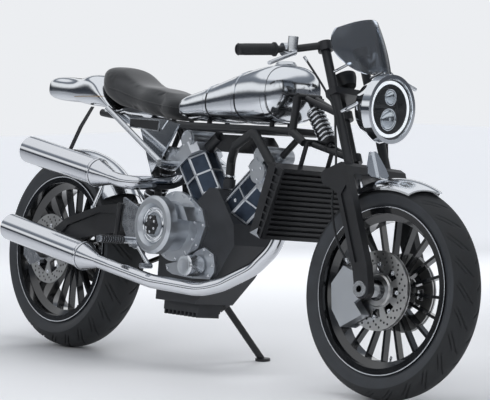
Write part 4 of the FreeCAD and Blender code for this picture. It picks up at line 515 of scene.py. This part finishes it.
coat(("cylinders",), blasted_aluminium, blue_anodise)
faces_where("cylinders", in_panel)
rib_lines = [rectangle(a - RIB_HALF, a + RIB_HALF, RIB_LOW, RIB_HIGH) for a in (-RIB_X, RIB_X)]
rib_lines += [rectangle(-RIB_X - RIB_HALF, RIB_X + RIB_HALF, z - BAND_HALF, z + BAND_HALF)
              for z in (RIB_LOW + BAND_HALF, BAND_UP, RIB_HIGH - BAND_HALF)]
ribs, screws = [], []
for degrees, offset in BANKS:
    for fore in (-1, 1):
        for side in (-1, 1):
            corner = Matrix(((-fore * SLANT, fore * SLANT, 0, fore * CORNER_X),
                             (side * SLANT, side * SLANT, 0, side * CORNER_Y),
                             (0, 0, 1, 0), (0, 0, 0, 1)))
            ribs += [(prism(line, -0.3, 1.2), bank_place(degrees, offset) @ corner) for line in rib_lines]
piece("barrel_ribs", gathered(ribs), MACHINE, blasted_aluminium, "chassis", False)
cam_covers = [(across, side, CAM_UP, CAM_FACE) for across in (46, -46) for side in (-1, 1)]
timing_cover = [(0, -1, TIMING_UP, TIMING_FACE)]
for bank, covers in zip(BANKS, (cam_covers + timing_cover, cam_covers)):
    for across, side, high, face in covers:
        for i in range(3):
            angle = math.radians(90 + 120 * i)
            x, z = across + COVER_BOLTS_R * math.cos(angle), high + COVER_BOLTS_R * math.sin(angle)
            screws.append((bolt(3.6, 3), bank_place(*bank) @ facing((x, side * face, z), (0, side, 0))))
screws.append((bolt(6, 4.5), bank_place(*BANKS[0]) @ facing((0, -PANEL_Y, 135), RIGHT)))
piece("head_screws", gathered(screws), MACHINE, chrome_plate, "chassis")

# Exhaust.
# Stainless header pipes polished to a mirror, and two stacked silencers of thin polished sheet
# with a rolled collar at the nose.

# Polished stainless steel: a mirror a little darker than chrome, with long rolling waves.
mirror_steel = new_material("mirror_steel", "#dcdee2", metallic=1.0, roughness=0.08, grain_mm=71.4,
                            deep_mm=0.2, tilt=0.12, detail=1.0, patch_mm=100, gloss=(0.05, 0.16))

COLLAR_BACK = 84
coat(("exhaust_pipes", "silencers"), mirror_steel)
collar = turned([(0, 46.2), (2.5, 47.2), (9.5, 47.2), (12, 46.2), (12, 45.8), (0, 45.8)], 48)
for name, back, front in (("upper", Vector((8, -230, 648)), Vector((440, -200, 575))),
                          ("lower", Vector((-52, -240, 388)), Vector((430, -220, 308)))):
    heading = (front - back).normalized()
    shape = gathered([(collar, facing(front - heading * COLLAR_BACK, heading))])
    piece(name + "_silencer_collar", shape, MACHINE, mirror_steel, "chassis")

# Radiator and hoses.
# A thin black core between two frames of pressed sheet, bright in front, and a moulded black
# hose held by bands with a worm screw.

# Moulded rubber: plain black with a dull bloom. The weave under its skin is 2 mm wide.
moulded_rubber = new_material("moulded_rubber", "#17181a", metallic=0.0, roughness=0.55, grain_mm=2,
                              deep_mm=0.1, tilt=0.5, detail=3.0, patch_mm=38.46, gloss=(0.42, 0.7),
                              tones=("#141517", "#1e2022"))

RADIATOR_FOOT, RADIATOR_LEAN = Vector((1121, 0, 438)), math.radians(17)
HOSE_END_LINE = (0.956, 0, -0.292)


def radiator_front(point, normal):
    """Whether a face of the frames lies ahead of the middle of the radiator's thickness."""
    return (Matrix.Rotation(RADIATOR_LEAN, 4, "Y") @ (point - RADIATOR_FOOT)).x > 4.5


coat(("coolant_hose", "grips"), moulded_rubber)
coat(("radiator_frames",), blasted_aluminium, powder_coat)
faces_where("radiator_frames", radiator_front)
band = turned([(0, 15.4), (0, 16.6), (9, 16.6), (9, 15.4)], 32)
worm = turned([(0, 0), (0, 3.6), (11, 3.6), (12, 2.6), (12, 0)], 10)
clamps = [(band, facing((806, -24, 604), (0, 0, 1))), (worm, facing((800, -41, 608.5), (1, 0, 0))),
          (band, facing((1122, -98, 638.4), HOSE_END_LINE)), (worm, facing((1125, -110, 622), LEFT))]
piece("hose_clamps", gathered(clamps), MACHINE, chrome_plate, "chassis")

# Rests, foot controls and calipers.
# Forged and machined aluminium: bright levers, rods and calipers, and rests under ribbed black
# sleeves. A black brake cylinder stands over the hanger plate on the right.

coat(("footrests", "foot_pedals", "levers", "rear_caliper"), turned_aluminium)
coat(("front_calipers",), blasted_aluminium)
REST_X, REST_Z, REST_IN, RIB_STEP = 522, 384, 204, 9
CYLINDER_FOOT, CYLINDER_LINE = (428.5, -160, 390.4), (9.1, 0, 107.3)
rib = turned([(0, 12.1), (1.6, 13.4), (4.4, 13.4), (6, 12.1)], 20, False)
sleeves = [(rib, facing((REST_X, side * (REST_IN + RIB_STEP * i), REST_Z), (0, side, 0)))
           for side in (-1, 1) for i in range(10)]
piece("rest_ribs", gathered(sleeves), MACHINE, powder_coat, "chassis")
cylinder = turned([(0, 0), (0, 8.4), (4, 9.4), (10, 9.4), (12, 8), (88, 8), (90, 10), (102, 10), (107, 8),
                   (107, 0)], 20)
brake_cylinder = gathered([(cylinder, facing(CYLINDER_FOOT, CYLINDER_LINE))])
piece("rear_brake_cylinder", brake_cylinder, MACHINE, powder_coat, "chassis")

# Tank, tail, panels and mudguards.
# Aluminium panels beaten to shape and polished by hand to a mirror, so that slight hammer waves
# stay in the reflections. Three polished bands with dark edges strap the tank down.

# Hand-polished aluminium: a white mirror whose reflections bend over hammer waves of 90 mm.
mirror_aluminium = new_material("mirror_aluminium", "#e3e6ea", metallic=1.0, roughness=0.1, grain_mm=90.9,
                                deep_mm=0.6, tilt=0.12, detail=1.0, patch_mm=142.9, gloss=(0.06, 0.2),
                                patch_detail=5.0)

coat(("tank", "tank_bands", "tail", "side_panels", "front_mudguard", "fork_shield", "rear_mudguard"),
     mirror_aluminium)
coat(("seat_struts",), turned_aluminium)


def skin_of(obj):
    """A tree that finds an object's surface, with its points on the upright machine in millimetres."""
    home = MACHINE.inverted() @ obj.matrix_world
    points = [home @ vertex.co for vertex in obj.data.vertices]
    return BVHTree.FromPolygons(points, [tuple(p.vertices) for p in obj.data.polygons])


def line_on(tree, starts, heading, wide, thick):
    """A thin strip along the points where lines from outside meet a surface."""
    met = []
    for start in starts:
        point, normal, _, _ = tree.ray_cast(Vector(start), Vector(heading), 900)
        if point:
            met.append((point, normal))
    vertices, faces = [], []
    for i, (point, normal) in enumerate(met):
        along = (met[min(i + 1, len(met) - 1)][0] - met[max(i - 1, 0)][0]).normalized()
        across = normal.cross(along).normalized() * wide / 2
        up = normal.normalized() * thick
        vertices += [tuple(point - across - up * 0.4), tuple(point - across * 0.8 + up),
                     tuple(point + across * 0.8 + up), tuple(point + across - up * 0.4)]
    for i in range(len(met) - 1):
        for j in range(4):
            k = (j + 1) % 4
            faces.append((4 * i + j, 4 * i + k, 4 * i + 4 + k, 4 * i + 4 + j))
    if met:
        faces += [(0, 1, 2, 3), (len(vertices) - 4, len(vertices) - 3, len(vertices) - 2, len(vertices) - 1)]
    return vertices, faces


HERE = Matrix.Identity(4)
BANDS_X, BAND_EDGE, FAR_OUT = (752, 900, 1036), 9, 400
tank_skin = skin_of(cad["tank"])
edges = []
for station in BANDS_X:
    for edge in (-BAND_EDGE, BAND_EDGE):
        for side in (-1, 1):
            starts = [(station + edge, side * FAR_OUT, z) for z in range(776, 866, 6)]
            edges.append((line_on(tank_skin, starts, (0, -side, 0), 3, 1.0), HERE))
piece("tank_band_edges", gathered(edges), MACHINE, powder_coat, "chassis")
cap_foot, cap_normal, _, _ = tank_skin.ray_cast(Vector((1000, 0, 1200)), Vector((0, 0, -1)), 600)
cap = turned([(-2, 0), (-2, 33), (3, 33.5), (4, 31), (9, 30), (11, 27), (11, 12), (13, 11), (13, 0)], 40)
piece("filler_cap", gathered([(cap, facing(cap_foot, cap_normal))]), MACHINE, turned_aluminium, "chassis")

# Trim of the tail and the side.
# A thin brass line along each flank of the tail, a flat black stay from the tail down to the
# mudguard, and a polished strip with a bare framed plate on the side.

# Brass strip: warm yellow, slightly dulled. Its brush marks are drawn at 1.2 mm.
brass = new_material("brass", "#b08d57", metallic=1.0, roughness=0.25, grain_mm=1.25, deep_mm=0.03,
                     tilt=0.3, patch_mm=33.33, gloss=(0.16, 0.36), patch_detail=3.0)

STRIP_IN, STRIP_OUT, FRAME_OUT, FIELD_OUT = -96, -98.6, -100.6, -101.4
tail_skin = skin_of(cad["tail"])
trims = []
for side in (-1, 1):
    starts = [(x, side * FAR_OUT, 836 + (x - 40) * 0.02) for x in range(20, 200, 8)]
    trims.append((line_on(tail_skin, starts, (0, -side, 0), 2.4, 0.8), HERE))
piece("tail_trim_lines", gathered(trims), MACHINE, brass, "chassis")
stay = prism([(28, 806), (31, 808), (-27, 737), (-76, 659), (-79, 661), (-30, 739)], -7, 7)
piece("tail_stay", stay, MACHINE, powder_coat, "chassis", False)
strip = prism([(300, 784), (565, 770), (539, 741), (352, 754)], STRIP_IN, STRIP_OUT)
piece("side_strip", strip, MACHINE, mirror_aluminium, "chassis", False)
border = prism([(370, 772), (527, 770), (525, 733), (374, 742)], STRIP_OUT + 0.2, FRAME_OUT)
piece("badge_border", border, MACHINE, turned_aluminium, "chassis", False)
field = prism([(374, 769), (523, 767), (521, 737), (378, 745)], FRAME_OUT + 0.2, FIELD_OUT)
piece("badge_field", field, MACHINE, powder_coat, "chassis", False)

# Seat.
# A foam pad under black suede, glued and stitched over the tail, with a raised piping seam along
# each flank. The pad is swelled by the pressure of its filling.

# Suede: black without any shine, greyer where the nap lies over. The nap is drawn at 1.4 mm.
suede = new_material("suede", "#1d1e20", metallic=0.0, roughness=0.95, grain_mm=1.429, deep_mm=0.3,
                     tilt=0.5, detail=3.0, patch_mm=62.5, gloss=(0.86, 1.0), tones=("#17181a", "#252729"),
                     Sheen_Weight=0.35, Sheen_Roughness=0.5)

PAD_SHRINK, PAD_VOXEL, PAD_CAP, PAD_FRAMES, PAD_PRESSURE = 0.975, 0.005, 0.008, 20, 4
SEAM = [(212, 0, 885), (230, 0, 871), (289, 0, 859), (372, 0, 839), (483, 0, 821), (568, 0, 812)]


def as_applied(obj):
    """Keeps what the modifiers make of an object and takes them off."""
    graph = bpy.context.evaluated_depsgraph_get()
    mesh = bpy.data.meshes.new_from_object(obj.evaluated_get(graph))
    obj.modifiers.clear()
    obj.data = mesh


def smooth_way(points, fine=8):
    """A flowing line through points."""
    way, points = [], [Vector(p) for p in points]
    for i in range(len(points) - 1):
        before, after = points[max(i - 1, 0)], points[min(i + 2, len(points) - 1)]
        a, b = points[i], points[i + 1]
        for step in range(fine):
            t = step / fine
            way.append(0.5 * (2 * a + (b - before) * t + (2 * before - 5 * a + 4 * b - after) * t * t
                              + (3 * a - before - 3 * b + after) * t ** 3))
    return way + [points[-1]]


mesh = cad["seat"].data.copy()
seat = bpy.data.objects.new("seat_pad", mesh)
bpy.context.scene.collection.objects.link(seat)
seat.matrix_world = cad["seat"].matrix_world
middle = sum((v.co for v in mesh.vertices), Vector()) / len(mesh.vertices)
for vertex in mesh.vertices:
    vertex.co = middle + (vertex.co - middle) * PAD_SHRINK
voxels = seat.modifiers.new("voxels", "REMESH")
voxels.mode = "VOXEL"
voxels.voxel_size = PAD_VOXEL
as_applied(seat)
before = [v.co.copy() for v in seat.data.vertices]
cloth = seat.modifiers.new("pressure", "CLOTH")
cloth.settings.use_pressure = True
cloth.settings.uniform_pressure_force = PAD_PRESSURE
cloth.settings.effector_weights.gravity = 0
for step in range(1, PAD_FRAMES + 1):
    bpy.context.scene.frame_set(step)
as_applied(seat)
bpy.context.scene.frame_set(1)
for vertex, start in zip(seat.data.vertices, before):
    moved = vertex.co - start
    if moved.length > PAD_CAP:
        vertex.co = start + moved.normalized() * PAD_CAP
finer = seat.modifiers.new("smooth", "SUBSURF")
finer.levels = finer.render_levels = 1
as_applied(seat)
for polygon in seat.data.polygons:
    polygon.use_smooth = True
seat.data.materials.clear()
seat.data.materials.append(suede)
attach(seat, "chassis")
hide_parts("seat")
coat(("seat",), suede)

pad_skin = skin_of(seat)
seams = []
for side in (-1, 1):
    starts = [Vector((p.x, side * FAR_OUT, p.z)) for p in smooth_way(SEAM, 10)]
    met = [pad_skin.ray_cast(start, Vector((0, -side, 0)), 900)[0] for start in starts]
    seams.append((tube([p for p in met if p], 1.5, 8), HERE))
piece("seat_piping", gathered(seams), MACHINE, suede, "chassis")

# Lamp.
# A chromed bezel round a clear glass. Behind it stand a white ring that lights up and two
# projector lenses, the high beam above the low beam, in a black bowl.

# Clear moulded glass: all but invisible, with a faint wave in what is behind it.
clear_glass = new_material("clear_glass", "#f4f7f9", metallic=0.0, roughness=0.02, grain_mm=33.33,
                           deep_mm=0.02, tilt=0.1, detail=1.0, patch_mm=83.3, gloss=(0.0, 0.04),
                           patch_detail=3.0, Transmission_Weight=1.0, IOR=1.5)

# Smoked acrylic sheet bent hot: grey-brown and see-through, glossy on both faces.
smoked_acrylic = new_material("smoked_acrylic", "#7d838b", metallic=0.0, roughness=0.03, grain_mm=125,
                              deep_mm=0.2, tilt=0.1, detail=1.0, patch_mm=83.3, gloss=(0.02, 0.08),
                              patch_detail=3.0, Transmission_Weight=0.9, IOR=1.3)

# A light guide of milky plastic, lit as in the photograph: an even white ring.
halo_light = new_material("halo_light", "#f2f4f6", metallic=0.0, roughness=0.3, grain_mm=3.333,
                          deep_mm=0.03, tilt=0.2, detail=1.0, patch_mm=25, gloss=(0.22, 0.4),
                          patch_detail=2.0, Emission_Strength=0.9, Emission_Color=linear("#f4f7fb"))

coat(("headlight",), chrome_plate)
coat(("headlight_reflector",), powder_coat)
coat(("headlight_lens",), clear_glass)
coat(("flyscreen",), smoked_acrylic)
LAMP = STEERED @ Matrix.Translation((1455, 0, 838)) @ Matrix.Rotation(math.pi / 2, 4, "Y")
DOME_FOOT, DOME_HIGH, DOME_STEPS = -3, 8, 8
halo = turned([(0.5, 72), (3.5, 73), (4.5, 77), (3.5, 81), (0.5, 82)], 72)
piece("lamp_halo", halo, LAMP, halo_light, "steering")
domes = []
for word, high, dome_r in (("high", 34, 24), ("low", -30, 32)):
    dome = [(DOME_FOOT, 0)]
    for i in range(DOME_STEPS + 1):
        angle = i * math.pi / (2 * DOME_STEPS)
        dome.append((DOME_FOOT + DOME_HIGH * math.cos(angle), (dome_r - 4) * math.sin(angle)))
    place = Matrix.Translation((-high, 0, 0))
    domes.append((turned(dome, 48), place))
    trim = turned([(-3, dome_r - 3.8), (-0.5, dome_r - 3), (-0.5, dome_r), (-3, dome_r)], 48)
    piece("lamp_ring_" + word, gathered([(trim, place)]), LAMP, chrome_plate, "steering")
piece("lamp_projectors", gathered(domes), LAMP, chrome_plate, "steering")

# Bars, grips and gauge.
# A black tube bar with ribbed rubber grips, and one round gauge in a black cup with a printed
# dial and a needle.

# White print and plastic: plain, slightly glossy.
white_plastic = new_material("white_plastic", "#e6e8ea", metallic=0.0, roughness=0.3, grain_mm=3.333,
                             deep_mm=0.03, tilt=0.2, detail=1.0, patch_mm=25, gloss=(0.22, 0.4),
                             patch_detail=2.0)

# A printed dial under its own lacquer: nearly black and glossy.
dial_face = new_material("dial_face", "#1a1c20", metallic=0.0, roughness=0.2, grain_mm=1.111, deep_mm=0.02,
                         tilt=0.2, detail=1.0, patch_mm=25, gloss=(0.14, 0.28), patch_detail=2.0,
                         Coat_Weight=1.0, Coat_Roughness=0.03)

GRIP_IN, GRIP_OUT, GRIP_RIBS, GRIP_STEP = (1181.8, 200, 982.2), (1142.8, 330, 964.2), 18, 6
coat(("handlebar",), powder_coat)
rib = turned([(0, 16.4), (1.0, 17.5), (3.0, 17.5), (4.0, 16.4)], 24, False)
ribs = []
for side in (-1, 1):
    inner, outer = [Vector((x, side * y, z)) for x, y, z in (GRIP_IN, GRIP_OUT)]
    heading = (outer - inner).normalized()
    ribs += [(rib, facing(inner + heading * (10 + GRIP_STEP * i), heading)) for i in range(GRIP_RIBS)]
piece("grip_ribs", gathered(ribs), STEERED, moulded_rubber, "steering")

GAUGE = STEERED @ facing((1262, 0, 917.3), (-0.6, 0, 0.8))
MARKS, MARKS_FROM, MARKS_SWEEP, DIAL_TOP = 24, -130, 260, Matrix.Translation((0, 0, 1))
dial = turned([(0, 0), (0, 31), (0.8, 31), (0.8, 0)], 48)
piece("gauge_dial", dial, GAUGE, dial_face, "steering")
marks = []
for i in range(MARKS + 1):
    inner = 24 if i % 4 else 21
    mark = prism(rectangle(-0.5, 0.5, inner, 28), 0, 0.4, "Z")
    angle = math.radians(MARKS_FROM + MARKS_SWEEP * i / MARKS)
    marks.append((mark, DIAL_TOP @ Matrix.Rotation(angle, 4, "Z")))
needle = prism([(-0.8, -6), (0.8, -6), (0.3, 26), (-0.3, 26)], 0.8, 1.4, "Z")
marks.append((needle, DIAL_TOP @ Matrix.Rotation(2.1, 4, "Z")))
piece("gauge_marks", gathered(marks), GAUGE, white_plastic, "steering", False)

# Front brake lines.
# Rubber-covered hoses from the bar down behind the fork legs to the calipers, with crimped steel
# ends. They turn with the fork.

FORK = STEERED @ Matrix.Translation((1635, 0, 0)) @ Matrix.Rotation(-RAKE, 4, "Y")
HOSE_R, HOSE_TOP = 3.4, (1238, 150, 968)
crimp = turned([(0, 0), (0, 4.6), (16, 4.6), (18, 3.6), (18, 0)], 12)
for side, word in ((-1, "right"), (1, "left")):
    top = FORK.inverted() @ STEERED @ Vector((HOSE_TOP[0], side * HOSE_TOP[1], HOSE_TOP[2]))
    way = smooth_way([top, (60, side * 118, 890), (46, side * 112, 800), (20, side * 112, 700),
                      (-22, side * 112, 600), (-40, side * 100, 500), (-30, side * 82, 428)], 10)
    piece("brake_hose_" + word, tube(way, HOSE_R), FORK, moulded_rubber, "steering")
    ends = [(crimp, facing(way[-1], way[-2] - way[-1])), (crimp, facing(way[0], way[1] - way[0]))]
    piece("brake_hose_ends_" + word, gathered(ends), FORK, turned_aluminium, "steering")

# Floor.
# A pale painted studio floor. Away from the machine it is lit for the camera alone, so that it
# fades into the pale room.

# Floor paint: pale and matt, with a roller's grain of 12 mm and duller patches 0.7 m wide.
pale_floor = new_material("pale_floor", "#d9dadc", metallic=0.0, roughness=0.6, grain_mm=12.5, deep_mm=0.05,
                          tilt=0.3, detail=3.0, patch_mm=667, gloss=(0.5, 0.7))
FLOOR_HALF, FADE_FROM, FADE_TO = 14, 1.2, 5.0
tree = pale_floor.node_tree
shader = tree.nodes["Principled BSDF"]
seen = add_node(tree, "ShaderNodeLightPath", {}).outputs["Is Camera Ray"]
where = add_node(tree, "ShaderNodeTexCoord", {}).outputs["Object"]
away = add_node(tree, "ShaderNodeVectorMath", {"Vector": where}, operation="LENGTH")
far = add_node(tree, "ShaderNodeMapRange",
               {"Value": away.outputs["Value"], "From Min": FADE_FROM, "From Max": FADE_TO})
add_node(tree, "ShaderNodeMath", {0: far, 1: seen}, shader.inputs["Emission Strength"], operation="MULTIPLY")
shader.inputs["Emission Color"].default_value = linear("#b0b2b6")
corners = [(x * FLOOR_HALF, y * FLOOR_HALF, 0) for x, y in ((-1, -1), (1, -1), (1, 1), (-1, 1))]
floor_mesh = bpy.data.meshes.new("studio_floor")
floor_mesh.from_pydata(corners, [], [(0, 1, 2, 3)])
floor_mesh.materials.append(pale_floor)
floor = bpy.data.objects.new("studio_floor", floor_mesh)
bpy.context.scene.collection.objects.link(floor)

# Light.
# A large soft lamp overhead, one to the right and one behind, none of them mirrored. The room is
# pale to the camera and dim as light. In the metal it is pale with dark bands, which draw streaks.

scene = bpy.context.scene
scene.view_settings.view_transform = "Standard"
world = bpy.data.worlds.new("studio")
scene.world = world
world.use_nodes = True
tree = world.node_tree
background = tree.nodes["Background"]
background.inputs["Strength"].default_value = 1.0
seen = add_node(tree, "ShaderNodeLightPath", {})
heading = add_node(tree, "ShaderNodeTexCoord", {}).outputs["Generated"]
height = add_node(tree, "ShaderNodeSeparateXYZ", {"Vector": heading}).outputs["Z"]
skyline = add_node(tree, "ShaderNodeMapRange", {"Value": height, "From Min": -0.2, "From Max": 0.8})
mirrored = add_node(tree, "ShaderNodeValToRGB", {"Fac": skyline})
mirrored.color_ramp.elements[0].color = linear("#8f9298")
mirrored.color_ramp.elements[1].color = linear("#f2f4f7")
for place, tone in ((0.2, "#3b3f46"), (0.3, "#33373d"), (0.38, "#f4f6f8"), (0.52, "#f4f6f8"),
                    (0.6, "#6a7079"), (0.74, "#848a93"), (0.82, "#f2f4f7")):
    mirrored.color_ramp.elements.new(place).color = linear(tone)
pale = add_node(tree, "ShaderNodeMix", {"Factor": seen.outputs["Is Camera Ray"], "A": mirrored,
                                        "B": linear("#eceef1")}, data_type="RGBA")
dim = add_node(tree, "ShaderNodeMix", {"Factor": seen.outputs["Is Diffuse Ray"],
                                       "A": pale.outputs["Result"], "B": linear("#a8acb3")},
               data_type="RGBA")
tree.links.new(dim.outputs["Result"], background.inputs["Color"])


def soft_lamp(name, place, aim, wide, high, watts):
    """A flat lamp that lights the machine and isn't mirrored in it."""
    lamp = bpy.data.lights.new(name, "AREA")
    lamp.shape = "RECTANGLE"
    lamp.size, lamp.size_y, lamp.energy = wide, high, watts
    obj = bpy.data.objects.new(name, lamp)
    obj.location = place
    obj.rotation_euler = (Vector(aim) - Vector(place)).to_track_quat("-Z", "Y").to_euler()
    obj.visible_glossy = False
    scene.collection.objects.link(obj)


soft_lamp("overhead", (0.2, 0.0, 3.0), (0, 0, 0.4), 3.2, 1.4, 62)
soft_lamp("key_right", (1.6, -3.2, 2.0), (0.1, 0, 0.5), 1.8, 1.8, 58)
soft_lamp("rim_left", (-2.4, 2.6, 1.9), (0, 0, 0.6), 1.6, 1.6, 45)

# Camera.
# A long lens at the height of the engine, from the right and slightly ahead of square.

VIEW_TURN, VIEW_RISE, VIEW_AWAY = math.radians(50.1), math.radians(4.065), 7.4927
LEAN, AIM_X, AIM_Z, AIM_ASIDE = math.radians(6), 0.77, 0.5353, 0.1003
under_axle = Vector((rear_axle.x, rear_axle.y - REAR_R / 1000 * math.sin(LEAN), 0))
aside = Vector((math.cos(VIEW_TURN), math.sin(VIEW_TURN), 0)) * AIM_ASIDE
target = under_axle + Vector((AIM_X, 0, AIM_Z)) + aside
toward = Vector((math.sin(VIEW_TURN) * math.cos(VIEW_RISE), -math.cos(VIEW_TURN) * math.cos(VIEW_RISE),
                 math.sin(VIEW_RISE)))
lens = bpy.data.cameras.new("camera")
lens.lens, lens.sensor_width = 177.5, 36
camera = bpy.data.objects.new("camera", lens)
camera.location = target + toward * VIEW_AWAY
camera.rotation_euler = (-toward).to_track_quat("-Z", "Y").to_euler()
scene.collection.objects.link(camera)
scene.camera = camera
